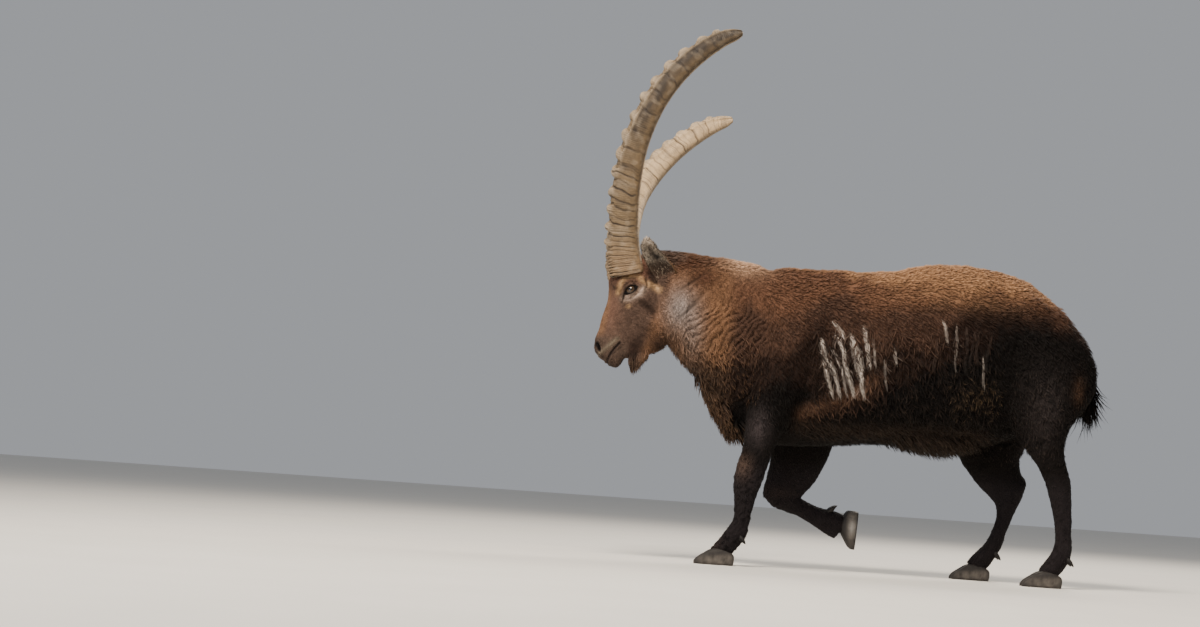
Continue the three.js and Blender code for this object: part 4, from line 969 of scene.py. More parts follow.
for foot, (heel, turn, reach) in feet.items():
    for side in (1, -1):
        label = "outer" if (side > 0) == foot.endswith("left") else "inner"
        grid = loftPoints(clawRows, hoof["rings"], hoof["sides"])
        rings = 0.35 * np.sin(grid[..., 0] / 1.9 + 0.08 * grid[..., 2]) * ramp(0, 6, grid[..., 2])
        grid[..., 1] += rings * np.sign(grid[..., 1])
        grid[..., 2] = np.maximum(grid[..., 2], 0)
        points, triangles = closedForm(grid)
        points[:, 2] = np.maximum(points[:, 2], 0)
        height, length = points[:, 2], points[:, 0]
        colour = np.tile(linear(hoof["wall"]), (len(points), 1))
        colour = overlaid(colour, hoof, (
            ("toe", 0.8 * ramp(64, 104, length)), ("coronet", ramp(22, 40, height + 0.12 * length)),
            ("sole", 0.9 * (1 - ramp(0, 9, height))), ("toe", 0.6 * ramp(18, 2, length)),
            ("toe", 0.3 + 0.5 * ripple(points, 22, 41)),
            # Painted highlight: a pale spot on the side of the lifted fore hoof, where light falls on it.
            ("paintedHoofHighlight", 0.85 * (foot == "fore_right") * bump(length, 44, 18) * bump(height, 15, 9))))
        points[:, 1] += side * hoof["spacing"] / 2
        name = f"{foot}_{label}"
        growth = length * 2 * np.pi / hoof["growthMm"]
        piece = makeMesh("claw_" + name, placeFoot(points, heel, turn), triangles, colour, {"along": growth})
        finishPiece(piece, hoofSheath, "hoof", "hoof_" + name)
        points, triangles = closedForm(loftPoints(dewclawRows, hoof["spurRings"], hoof["spurSides"]))
        points = points * np.array([1, side, 1]) + np.array([reach + 5, 0, 0])
        if side < 0:
            triangles = triangles[:, ::-1]
        colour = np.tile(linear(hoof["spur"]), (len(points), 1))
        piece = makeMesh("spur_" + name, placeFoot(points, heel, turn), triangles, colour,
                         {"along": points[:, 2] * 2})
        finishPiece(piece, hoofSheath, "hoof", "dewclaw_" + name)
print("hooves")

# Eyes: a ball with a level pupil bar, and lids as a rolled edge that runs out onto the skin.
lid = {"thick": 3.0, "start": 0.92, "reach": 1.7, "around": 96, "across": 16, "rim": "#100b0a"}


# A ball. Pupil and iris are shares by the distance from the line of gaze, over the bar's and the iris's
# sizes.
def makeEye(side):
    points, triangles = ball(eye["centre"], [eye["radius"] - 0.4] * 3, 0, 64, 44)
    p = points - np.array(eye["centre"])
    # The iris faces outwards and a little forwards, and the bar lies level.
    gaze = np.array(eye["gaze"])
    gaze /= np.linalg.norm(gaze)
    flat = p - (p @ gaze)[:, None] * gaze
    level = flat @ np.cross(gaze, [0, 0, 1])
    up = flat[:, 2]
    outward = ramp(0, 4, p @ gaze)
    pupil = (1 - ramp(0.85, 1.1, np.hypot(level / eye["pupil"][0], up / eye["pupil"][1]))) * outward
    iris = ramp(*eye["iris"], np.hypot(level, up)) * outward + (1 - outward)
    headPiece("eyeball", side, (points, triangles), wetEye, "eye", "eye", None,
              {"pupil": pupil, "iris": np.clip(iris, 0, 1)})


headOnly = skinPoints[:, 0] < -690
headLocal = turnHead(skinPoints[headOnly], back=True)


# How far out the skin lies at a place seen from the side: the mean of its nearest points.
def skinSide(x, z, side):
    local = headLocal[headLocal[:, 1] * side > 20]
    away = (x[..., None] - local[:, 0]) ** 2 + (z[..., None] - local[:, 2]) ** 2
    weight = np.exp(-away / 9.0) + 1e-12
    return (weight * np.abs(local[:, 1])).sum(-1) / weight.sum(-1)


# Rings from the eyeball out to the skin: an almond times a growing size, its height going over from ball to
# skin, with half a sine as the rolled edge.
def makeLids(side):
    a = np.linspace(0, 2 * np.pi, lid["around"], endpoint=False)[None]
    s = np.linspace(0, 1, lid["across"])[:, None]
    size = lid["start"] + (lid["reach"] - lid["start"]) * s**1.3
    # Almond: an ellipse whose corners are drawn out to points.
    u = 0.5 * eye["length"] * np.cos(a) * (1 + 0.06 * np.cos(a) ** 8) * size
    v = 0.5 * eye["height"] * np.sin(a) * (1 - 0.25 * np.cos(a) ** 4) * size
    x = eye["centre"][0] + u * math.cos(eye["slant"]) - v * math.sin(eye["slant"])
    z = eye["centre"][2] + u * math.sin(eye["slant"]) + v * math.cos(eye["slant"])
    onBall = eye["centre"][1] + np.sqrt(np.maximum((eye["radius"] + 0.2) ** 2 - u**2 - v**2, 16))
    skinAt = skinSide(x[-1], z[-1], side)[None] - 1.2
    blend = ramp(0.1, 1, s)
    roll = lid["thick"] * np.sin(np.pi * np.clip(s / 0.55, 0, 1)) ** 0.8 * (1 + 0.35 * np.sin(a))
    fold = -0.9 * bump(s, 0.62, 0.08) * (np.sin(a) > 0)
    y = onBall * (1 - blend) + skinAt * blend + roll + fold
    inner = np.stack([x[0], onBall[0] - 3.0, z[0]], -1)[None]
    grid = np.concatenate([inner, np.stack([x, y, z], -1)])
    rings, sides = grid.shape[:2]
    points = grid.reshape(-1, 3)
    triangles = facesRound(rings, sides)
    corner = np.concatenate([np.zeros((1, sides)), s - 0.22 * np.abs(np.cos(a)) ** 6])
    dark = (1 - ramp(0.16, 0.42, corner)).reshape(-1, 1)
    colour = linear(lid["rim"]) * dark + paintMarkings(turnHead(points)) * (1 - dark)
    p = points[triangles]
    if np.cross(p[:, 1] - p[:, 0], p[:, 2] - p[:, 0])[:, 1].sum() < 0:
        triangles = triangles[:, ::-1]
    headPiece("lids", side, (points, triangles), skinMaterial, "face_fur", colour=colour)


# Ears: the solids' profile on a fine grid, the outer half drawn in to a cup with a rolled rim.
ear = {
    "rings": 80, "sides": 72, "inset": 3.0, "cup": -0.5, "hairs": 2600, "back": "#4b3a2c", "rim": "#9a7350",
    "tip": "#a99a8a", "grey": "#726a5f", "hollow": "#2a221c", "spot": "#0d0b0a", "hair": "#8f8171"}


# The ear's rows as rings, with the outer half drawn in and the rim pushed out by a sine.
def makeEar(side):
    rings, sides = ear["rings"], ear["sides"]
    grid = loftPoints(earRows, rings, sides, -ear["inset"], cup=ear["cup"])
    angle = np.arange(sides)[None] * 2 * np.pi / sides
    up = np.linspace(0, 1, rings)[:, None]
    # The rim is pinched and wavy: it leans outwards by a sine along the ear.
    rim = bump(np.sin(angle), 0.0, 0.22)
    grid[..., 1] += rim * (2.5 + 1.5 * np.sin(9 * up + 2 * np.cos(angle))) * np.sin(np.pi * up)
    points, triangles = closedForm(grid)
    inside = ramp(0.12, 0.4, np.sin(angle)) + 0 * up
    behind = ramp(-0.2, 0.6, np.cos(angle))
    colour = np.tile(linear(ear["back"]), (rings, sides, 1))
    colour = overlaid(colour, ear, (
        ("rim", 0.75 * bump(np.sin(angle), 0.12, 0.3) * behind * ramp(0.75, 0.5, up)),
        ("hollow", 0.85 * inside * ramp(0.6, 0.45, up)), ("grey", 0.8 * ramp(0.42, 0.56, up) + 0 * angle),
        ("tip", 0.85 * ramp(0.74, 0.9, up) + 0 * angle),
        ("hollow", 0.75 * inside * bump(np.cos(angle), 0.1, 0.42) * ramp(0.9, 0.76, up)),
        ("hair", 0.6 * bump(np.sin(angle), 0.25, 0.22) * ramp(0.3, 0.5, up)),
        ("spot", inside * bump(up, 0.58, 0.05) * bump(np.cos(angle), 0.35, 0.4))))
    foot = ramp(0.42, 0.1, up)[..., None]
    colour = (colour * (1 - foot)
              + paintMarkings(turnHead(grid.reshape(-1, 3) * [1, side, 1])).reshape(rings, sides, 3) * foot)
    colour = colour.reshape(-1, 3)
    colour = np.vstack([colour, colour[:1], colour[-1:]])
    headPiece("ear_leaf", side, (points, triangles), skinMaterial, "face_fur", "ear", colour)
    return grid, colour


ears = []
for side in (1, -1):
    makeEye(side)
    makeLids(side)
    ears.append(makeEar(side))
print("eyes and ears")

# Coat: thin closed tufts, three-sided with a low ridge, rooted in the skin and lying along it, each bent once
# or more and drawn out to a point. Lengths, widths, lifts and folds are millimetres, and "each" is the square
# millimetres of skin for one tuft.
coat = {
    "seed": 5, "perPiece": 19000, "patch": 0.0015, "streakStep": 4.2, "streakColour": "#ded3c8",
    "body": {"each": 30.0, "length": 18.0, "width": 2.9, "rise": 3.4, "thick": 0.8, "folds": 4.0,
        "swirl": 1.0, "seed": 1},
    "neck": {"each": 10.0, "length": 8.5, "width": 2.3, "rise": 1.0, "thick": 0.4, "folds": 3.2, "swirl": 0.6,
        "seed": 4},
    "face": {"each": 6.6, "length": 8.0, "width": 1.6, "rise": 0.9, "thick": 0.35, "folds": 0.0, "swirl": 1.0,
        "seed": 2},
    "legs": {"each": 20.0, "length": 9.5, "width": 2.5, "rise": 0.8, "thick": 0.45, "folds": 1.0,
        "swirl": 1.0, "seed": 3}}


# Each row divided by its own length.
def unitRows(v):
    return v / np.maximum(np.linalg.norm(v, axis=-1, keepdims=True), 1e-9)


# Which way the hair points: back and ever more downwards on the flanks, down on legs and rump, back up the
# nose and back over the cheeks, down the throat and chest.
def coatLie(points):
    x, y, z = points.T
    lie = np.stack([np.full(len(points), 1.0), 0 * y, -0.12 - 1.5 * ramp(820, 600, z)], -1)

    # The lie leans towards a direction by a share.
    def turnTo(direction, share):
        nonlocal lie
        share = np.clip(share, 0, 1)[:, None]
        lie = unitRows(lie) * (1 - share) + unitRows(np.array(direction, float)) * share

    turnTo((0.50, 0, -0.86), ramp(-330, -450, x) * ramp(860, 780, z))
    turnTo((0.30, 0, -0.95), ramp(330, 470, x) * ramp(860, 760, z))
    turnTo((0.10, 0, -1.0), ramp(470, 380, z) * (1 - bump(y, 0, 45)))
    turnTo((0.9, 0, -0.3), ramp(430, 390, z) * bump(y, 0, 60) * ramp(-330, -250, x))
    local = turnHead(points, back=True)
    head = ramp(-690, -715, local[:, 0])
    turnTo((0.45, 0, 0.85), head)
    cheek = head * ramp(-845, -800, local[:, 0]) * ramp(20, 40, np.abs(local[:, 1]))
    turnTo((0.95, 0, -0.2), cheek)
    return unitRows(lie)


# Place on an unwrap of the skin's own shape: the trunk and head unrolled about their own middle line on the
# upper part of the sheet, each leg unrolled about its own on the lower part.
def unwrapPlace(points):
    x, y, z = points.T
    middle = np.interp(x, [-880, -690, -450, 480], [600, 740, 600, 640])
    u = 0.02 + 0.96 * (x + 900) / 1480
    v = 0.36 + 0.62 * (np.arctan2(y, z - middle) / (2 * np.pi) + 0.5)
    leg = z < 410 - 60 * (np.abs(y) < 45)
    axes = [(-430, -99), (-260, 104), (430, -99), (320, 109)]
    which = (x > 60) * 2 + (y > 0)
    centre = np.array(axes)[which]
    around = np.arctan2(y - centre[:, 1], x - centre[:, 0]) / (2 * np.pi) + 0.5
    u = np.where(leg, 0.01 + 0.245 * which + 0.22 * around, u)
    v = np.where(leg, 0.01 + 0.31 * np.clip(z, 0, 420) / 420, v)
    return np.stack([np.clip(u, 0.005, 0.99), np.clip(v, 0.005, 0.99)], -1)


# For each root the centre line runs root + lie*length*s, lifted by rise*(1-(1-s)^2) along the normal, swung
# to the side by sway*s^2 and by a sine of height curl, and let down by droop*s^2. Three corners stand round
# it on each of its rings, and the last point closes it. With free at 1 the hair hangs straight along its
# lie, and with 0 it is laid flat on the skin first.
def makeTufts(roots, normals, lies, length, width, thick, rise, sway, droop=0.0, bends=1, sink=1.5, curl=0.0,
              free=0.0):
    count = len(roots)
    lies = unitRows(lies - (1 - free) * (lies * normals).sum(1, keepdims=True) * normals)
    sides = unitRows(np.cross(normals, lies))
    s = np.linspace(0, 1, bends + 2)[:-1] ** 0.9
    shape = np.interp(s, [0, 0.3, 0.65, 1], [0.75, 1.0, 0.8, 0.0])
    columns = [np.broadcast_to(v, (count,))[:, None, None]
               for v in (length, width, thick, rise, sway, droop, sink, curl)]
    length, width, thick, rise, sway, droop, sink, curl = columns
    n, t, b, r = normals[:, None], lies[:, None], sides[:, None], roots[:, None]
    phase = (roots @ np.array([0.9, 0.7, 1.1]))[:, None, None]

    # The centre line at s, from 0 at the root to 1 at the tip.
    def centreAt(s):
        s = np.asarray(s)[None, :, None]
        swing = sway * s**2 + curl * (np.sin(6.5 * s + phase) - np.sin(phase))
        return (r + t * length * s + n * (rise * (1 - (1 - s) ** 2) - sink * (1 - s) ** 2) + b * swing
                - np.array([0, 0, 1.0]) * droop * s**2)

    centre = centreAt(s)
    half = 0.5 * width * shape[None, :, None]
    high = thick * (1 - 0.6 * s)[None, :, None]
    rings = np.stack([centre + b * half, centre + n * high, centre - b * half], 2)
    tip = centreAt([1.0])
    points = np.concatenate([rings.reshape(count, -1, 3), tip], 1)
    per = points.shape[1]
    faces = [(0, 1, 2)]
    for k in range(bends):
        for i in range(3):
            a, c = 3 * k + i, 3 * k + (i + 1) % 3
            faces += [(a, a + 3, c), (c, a + 3, c + 3)]
    last = 3 * bends
    faces += [(last + i, per - 1, last + (i + 1) % 3) for i in range(3)]
    faces = np.array(faces)
    sample = points[0][faces] - points[0].mean(0)
    if np.einsum("ij,ij->i", sample[:, 0], np.cross(sample[:, 1], sample[:, 2])).sum() < 0:
        faces = faces[:, ::-1]
    triangles = (np.arange(count)[:, None, None] * per + faces[None]).reshape(-1, 3)
    return points, triangles, np.concatenate([np.repeat(s, 3), [1.0]])


# Splits tufts into pieces of limited size. Each tuft has the markings' colour at its root, darker at the
# root, partly the darker undercoat and partly painted shade deep in the coat, and paler at the tip, and is
# laid on the unwrap as a small patch at its root's place.
def tuftPieces(name, slot, roots, made, tone, rootShade=0.5, tipShade=1.25, tip=None, base=None):
    points, triangles, up = made
    count, per = points.shape[:2]
    shade = np.interp(up, [0, 0.5, 1], [rootShade, 1.0, tipShade])
    base = (paintMarkings(roots) if base is None else base) * tone[:, None]
    colour = base[:, None] * shade[None, :, None]
    if tip is not None:
        share = (ramp(0.45, 1.0, up)[None] * tip[1][:, None])[..., None]
        colour = colour * (1 - share) + tip[0] * share
    across = np.concatenate([np.tile([-1.0, 0.0, 1.0], (per - 1) // 3), [0.0]])
    uv = unwrapPlace(roots)[:, None] + coat["patch"] * np.stack([across * (1 - up), 2 * up - 1], -1)[None]
    facesEach = len(triangles) // count
    parts = max(1, math.ceil(count / min(coat["perPiece"], 190000 // facesEach)))
    for k in range(parts):
        low, high = k * count // parts, (k + 1) * count // parts
        piece = makeMesh(f"{name}_{k + 1}", points[low:high].reshape(-1, 3),
                         triangles[low * facesEach:high * facesEach] - low * per,
                         colour[low:high].reshape(-1, 3), uv=uv[low:high].reshape(-1, 2))
        finishPiece(piece, tuftMaterial, slot)
    print(name, count, "tufts", len(triangles), "triangles")


# Roots drawn over the skin's triangles in proportion to their area times weight.
def scatter(weight, count, random):
    total = np.cumsum(faceArea * weight)
    chosen = np.searchsorted(total, random.random(count) * total[-1])
    chosen = np.sort(np.minimum(chosen, len(skinTriangles) - 1))
    f = random.random((count, 2))
    f = np.where(f.sum(1, keepdims=True) > 1, 1 - f, f)
    mix = np.stack([1 - f.sum(1), f[:, 0], f[:, 1]], 1)[..., None]
    corners = skinTriangles[chosen]
    return (skinPoints[corners] * mix).sum(1), unitRows((skinNormals[corners] * mix).sum(1))


faceCorners = skinPoints[skinTriangles]
faceArea = (0.5 * np.linalg.norm(np.cross(faceCorners[:, 1] - faceCorners[:, 0], faceCorners[:, 2]
                                          - faceCorners[:, 0]), axis=1))
faceCentres = faceCorners.mean(1)
hornCurve = curveThrough(hornRows[:, :3], np.linspace(0, 0.16, 12))


# 1 where no hair grows: eye openings, nose, under the horns and the feet's undersides.
def bareShare(points):
    local = turnHead(points, back=True)
    mirror = local * np.array([1, -1, 1])
    u, v = eyePlace(local)
    lidArea = (np.hypot(u, v) < 1.25) & (np.abs(local[:, 1]) > 30)
    nose = (nostrilPlace(local) < 1.3) | (local[:, 2] < 528) & (local[:, 0] < -850)
    near = np.full(len(points), 1e9)
    for q in hornCurve:
        near = np.minimum(near, np.minimum(np.linalg.norm((local - q) * [0.8, 1, 1], axis=1),
                                           np.linalg.norm((mirror - q) * [0.8, 1, 1], axis=1)))
    return (lidArea | nose | (near < 29) | (points[:, 2] < 24)).astype(float)


bare = bareShare(faceCentres)
localCentres = turnHead(faceCentres, back=True)
headShare = ramp(-690, -712, localCentres[:, 0])
legShare = np.maximum(ramp(430, 360, faceCentres[:, 2]) * (1 - bump(faceCentres[:, 1], 0, 40)),
                      ramp(372, 345, faceCentres[:, 2]))
neckShare = (1 - headShare) * ramp(-395, -430, faceCentres[:, 0]) * ramp(845, 815, faceCentres[:, 2])
bodyShare = (1 - headShare) * (1 - legShare) * (1 - neckShare)
doubled = np.where((faceCentres[:, 0] > skin["bodyStart"]) & (faceCentres[:, 0] < skin["headEnd"]), 0.5, 1.0)


# Short tufts that clump into small waves: lie and lift follow ripples about 16 and 45 mm long.
def growShort(name, slot, share, sizes):
    random = np.random.default_rng(coat["seed"] + sizes["seed"])
    weight = share * (1 - bare) * doubled
    count = int((faceArea * weight).sum() / sizes["each"])
    roots, normals = scatter(weight, count, random)
    lies = coatLie(roots)
    wave = ripple(roots, 17, 64, 2)
    swirl = ((0.24 * ripple(roots, 150, 61) + 0.26 * ripple(roots, 45, 62) + 0.34 * wave
              + 0.12 * random.normal(size=count)) * sizes["swirl"])
    lies = unitRows(lies + np.cross(normals, lies) * swirl[:, None])
    # The coat itself is folded: tufts stand up on the ridges and sink in the creases under their middle.
    crease = creases(roots + lies * 0.5 * sizes["length"])
    roots = roots + normals * (sizes["folds"] * (0.45 - crease))[:, None]
    length = (sizes["length"] * (0.75 + 0.5 * random.random(count)) * (1 + 0.2 * ripple(roots, 30, 63))
              * (1 - 0.35 * crease))
    length *= 1 - 0.45 * ramp(230, 300, roots[:, 0]) * ramp(690, 610, roots[:, 2])
    length *= 1 - 0.7 * ramp(-0.25, -0.6, normals[:, 2]) * ramp(400, 360, roots[:, 2])
    made = makeTufts(roots, normals, lies, length, sizes["width"] * (0.8 + 0.4 * random.random(count)),
                     sizes["thick"],
                     sizes["rise"] * (0.5 + 0.8 * random.random(count)) * (1 + 0.5 * wave)
                     * (1 - 0.6 * crease),
                     0.18 * length * random.normal(size=count), curl=0.05 * length)
    # A tuft shows its outer half, so its colour is the markings' at its middle.
    tuftPieces(name, slot, roots, made, (0.82 + 0.36 * random.random(count)) * (1 + 0.14 * wave),
               base=paintMarkings(roots + lies * (0.55 * length)[:, None]))


growShort("coat_body", "body_fur", bodyShare, coat["body"])
growShort("coat_neck", "body_fur", neckShare * (1 - legShare), coat["neck"])
growShort("coat_face", "face_fur", headShare, coat["face"])
growShort("coat_legs", "leg_fur", legShare, coat["legs"])


# Long hair in locks: count roots by share, each bent three times and curled. With gather the locks lean
# together into pointed bunches about 22 mm apart. lie may be one direction or a rule for each root.
def growLong(name, share, count, length, width, rise, seed, droop=0, lie=None, slot="body_fur", tip="#8d7763",
             tipShare=0.35, sway=0.16, gather=0.0, free=0.0, sink=3.0):
    random = np.random.default_rng(coat["seed"] + 100 + seed)
    roots, normals = scatter(np.clip(share, 0, 1) * (1 - bare) * doubled + 1e-12, count, random)
    if lie is None:
        lies = coatLie(roots)
    elif callable(lie):
        lies = lie(roots)
    else:
        lies = np.tile(unitRows(np.array(lie, float)), (count, 1))
    swirl = (0.25 * ripple(roots, 60, 71 + seed) + 0.10 * random.normal(size=count)
             + gather * ripple(roots, 20, 90 + seed, 1))
    lies = unitRows(lies) + np.cross(normals, unitRows(lies)) * swirl[:, None]
    size = (0.7 + 0.45 * random.random(count)) * (1 + 0.2 * ripple(roots, 35, 72))
    reach = (length(roots) if callable(length) else length) * size
    made = makeTufts(roots, normals, lies, reach, width * (0.7 + 0.6 * random.random(count)), width * 0.28,
                     rise * (0.4 + 0.9 * random.random(count)), reach * sway * random.normal(size=count),
                     droop * size, bends=3, sink=sink, curl=0.035 * reach, free=free)
    tuftPieces(name, slot, roots, made, 0.78 + 0.4 * random.random(count), 0.55, 1.15,
               (linear(tip), tipShare * random.random(count)))


cx, cy, cz = faceCentres.T
aside = np.abs(cy)
nx, _, nz = skinNormals[skinTriangles[:, 0]].T
lx, ly, lz = localCentres.T
throatFront = cx + 0.62 * (cz - 600)


# The product of smooth steps, each of one measure from the value where hair starts to where it is full.
def within(*steps):
    share = 1.0
    for measure, start, full in steps:
        share = share * ramp(start, full, measure)
    return share


# The strands hang nearly straight down and draw together a little below, in the head's frame.
def beardLie(roots):
    local = turnHead(roots, back=True)
    towards = np.stack([-0.32 * (local[:, 0] + 768), -0.5 * local[:, 1], np.full(len(local), -60.0)], -1)
    return turnHead(local + unitRows(towards) * 10) - roots


# Drop by the place along the chin, less what the root already lies below the chin's edge.
def beardLength(roots):
    local = turnHead(roots, back=True)
    drop = np.interp(local[:, 0], [-788, -778, -766, -752, -738, -724], [30, 46, 50, 34, 22, 13])
    return drop - 0.8 * np.clip(566 - local[:, 2], -10, 20)


# Long hair: where it grows, how many locks, their length, width, lift off the skin and droop in millimetres,
# their lie (none: as the short coat), and the seed. The rest is as in growLong.
longCoat = {
    "belly": dict(share=within((cx, -320, -250), (cx, 260, 220), (cz, 455, 410), (nz, -0.1, -0.5),
        (cz, 368, 384)), count=1500, length=30, width=4.0, rise=5, droop=6, lie=(1.0, 0, -0.5), seed=1,
        tipShare=0.1),
    "fringe": dict(share=within((cx, -70, 10), (cx, 225, 150), (cz, 420, 385), (aside, 165, 130),
        (cz, 368, 384)), count=1700, length=lambda roots: 26 + 24 * bump(roots[:, 0], 80, 80), width=4.4,
        rise=3, droop=0, lie=(0.75, 0, -1), seed=2, tipShare=0.15, gather=0.6, free=0.85, sink=6.0),
    "brisket": dict(share=within((cx, -660, -620), (cx, -400, -430), (cz, 540, 470), (aside, 72, 46),
        (nx, 0.35, -0.1), (cz, 372, 392)), count=1500, length=44, width=4.2, rise=9, droop=4, lie=(0.38, 0,
        -1), seed=3, tip="#7b604a", tipShare=0.9, gather=1.3, free=0.7),
    "throat": dict(share=within((throatFront, -570, -600), (cx, -695, -665), (cz, 440, 480), (cz, 700, 620)),
        count=1000, length=17, width=3.2, rise=5, droop=2, lie=(0.42, 0, -1), seed=4, tipShare=0.3,
        gather=0.8),
    "ruff": dict(share=within((cx, -600, -550), (cx, -400, -450), (cz, 440, 480), (cz, 660, 560)), count=1000,
        length=24, width=3.8, rise=5, droop=2, lie=(0.5, 0, -0.86), seed=5, tip="#8b6a4e", tipShare=0.4,
        gather=0.8),
    "beard": dict(share=within((lx, -786, -780), (lx, -726, -738), (lz, 600, 580), (np.abs(ly), 26, 15)),
        slot="face_fur", count=560, length=beardLength, width=3.4, rise=1, droop=0, lie=beardLie, seed=6,
        tip="#8d7460", tipShare=0.55, sway=0.03, free=1.0, sink=5.0),
    "tail": dict(share=within((cx, 500, 512), (aside, 40, 26), (cz, 520, 545), (cz, 660, 620)),
        slot="tail_hair", count=700, length=110, width=3.4, rise=2, droop=0, lie=(0.06, 0, -1), seed=7,
        tip="#3a3430", tipShare=0.25, gather=0.35, free=0.9),
    "tail_spray": dict(share=within((cx, 508, 520), (aside, 34, 22), (cz, 530, 550), (cz, 620, 580)),
        slot="tail_hair", count=220, length=56, width=3.0, rise=5, droop=0, lie=(0.22, 0, -0.9), seed=8,
        tip="#3a3430", tipShare=0.3, free=0.4),
    "rump": dict(share=within((cx, 440, 480), (cz, 450, 500), (cz, 720, 660)), count=1100, length=18,
        width=3.6, rise=1, droop=2, lie=(0.12, 0, -1), seed=9, tipShare=0.12, gather=0.3),
    "withers": dict(share=within((aside, 48, 20), (cz, 825, 845), (cx, -700, -660), (cx, -180, -260)),
        count=1300, length=24, width=3.4, rise=5, seed=10, tip="#b89a80"),
    "back": dict(share=within((aside, 50, 20), (cz, 800, 840), (cx, -320, -240), (cx, 450, 400)), count=1200,
        length=22, width=3.4, rise=5, seed=11, tip="#b89a80", tipShare=0.3),
    "flank": dict(share=within((cx, -300, -240), (cx, 260, 210), (cz, 700, 640), (cz, 430, 470),
        (aside, 90, 120)), count=2300, length=36, width=3.6, rise=9, droop=2, lie=(0.22, 0, -1), seed=12,
        tip="#5c4b3e", tipShare=0.4, gather=1.3),
    # Wet clumps: their pale tips are painted highlights on the glossy locks, over the hair's own tan tips.
    "wet_clumps_highlit_tips": dict(share=within((cx, 95, 125), (cx, 265, 225)) * bump(cz, 522,
        34) * within((aside, 90, 120)), count=460, length=24, width=4.0, rise=7, droop=2, lie=(0.3, 0, -1),
        seed=15, tip="#77624a", tipShare=0.9, sway=0.35, gather=1.3),
    "thigh": dict(share=within((cx, 200, 260), (cz, 620, 560), (cz, 330, 390)), count=1500, length=19,
        width=3.4, rise=3, droop=2, lie=(0.1, 0, -1), seed=13, tip="#5b4d44", tipShare=0.5, gather=1.1),
    "jaw": dict(share=within((lx, -735, -715), (lx, -660, -690), (lz, 680, 620)), slot="face_fur", count=500,
        length=13, width=2.2, rise=2, droop=2, lie=(0.8, 0, -0.8), seed=14, tipShare=0.1)}
for name, hair in longCoat.items():
    growLong("coat_" + name, **hair)

# The pale hair of the streaks, as fine locks laid along them on the coat.
flankPoints = skinPoints[(np.abs(skinPoints[:, 1]) > 90) & (skinPoints[:, 0] > -320)
                         & (skinPoints[:, 0] < 260) & (skinPoints[:, 2] > 440)]


# Height of the skin out from the middle plane at a place seen from the side: a weighted mean nearby.
def onFlank(x, z, side):
    near = flankPoints[flankPoints[:, 1] * side > 0]
    weight = np.exp(-((x[:, None] - near[:, 0]) ** 2 + (z[:, None] - near[:, 2]) ** 2) / 60)
    return side * (weight * np.abs(near[:, 1])).sum(1) / weight.sum(1)


# Fine pale locks along each streak, spread over its width and paler towards its middle.
def growStreaks(side):
    random = np.random.default_rng(coat["seed"] + 200 + side)
    start, end, glow = [], [], []
    for bright, line in streaks if side < 0 else streaks[::2]:
        line = np.array(line, float)
        run = np.concatenate([[0], np.cumsum(np.hypot(*np.diff(line[:, :2], axis=0).T))])
        count = int(run[-1] * line[:, 2].mean() / coat["streakStep"]) + 8
        at = np.sort(random.random(count)) * run[-1] - 6
        reach = at + 24 + 12 * random.random(count)
        off = random.normal(size=count) * 0.42
        for d, places, pull in ((at, start, 1.0), (reach, end, 0.8)):
            wide = np.interp(d, run, line[:, 2])
            past = np.clip(d - run[-1], 0, None) + np.clip(d, None, 0)
            places.append(np.stack([np.interp(d, run, line[:, 0]) + pull * off * wide + 0.25 * past,
                                    np.interp(d, run, line[:, 1]) - past], -1))
        glow.append(bright * (0.55 + 0.45 * random.random(count)) * np.exp(-off**2)
                    * (0.6 if side > 0 else 1.0))
    start, end, glow = np.vstack(start), np.vstack(end), np.concatenate(glow)
    start, end = (np.stack([v[:, 0], onFlank(v[:, 0], v[:, 1], side), v[:, 1]], -1) for v in (start, end))
    count = len(glow)
    normals = unitRows(np.stack([np.zeros(count), np.full(count, float(side)), np.full(count, 0.12)], -1))
    length = np.linalg.norm(end - start, axis=1)
    glow *= np.where(random.random(count) < 0.4, 0.35, 1.0)
    base = paintMarkings(start) * (1 - glow[:, None]) + linear(coat["streakColour"]) * glow[:, None]
    made = makeTufts(start + normals * 3.0, normals, end - start, length, 1.5 + 1.3 * random.random(count),
                     0.5,
                     1.5 + 2.5 * random.random(count), 0.06 * length * random.normal(size=count), bends=2,
                     sink=2.0, curl=0.03 * length)
    tuftPieces("coat_streaks_" + sideNames[side], "body_fur", start, made,
               0.8 + 0.35 * random.random(count), 0.85, 1.0, base=base)


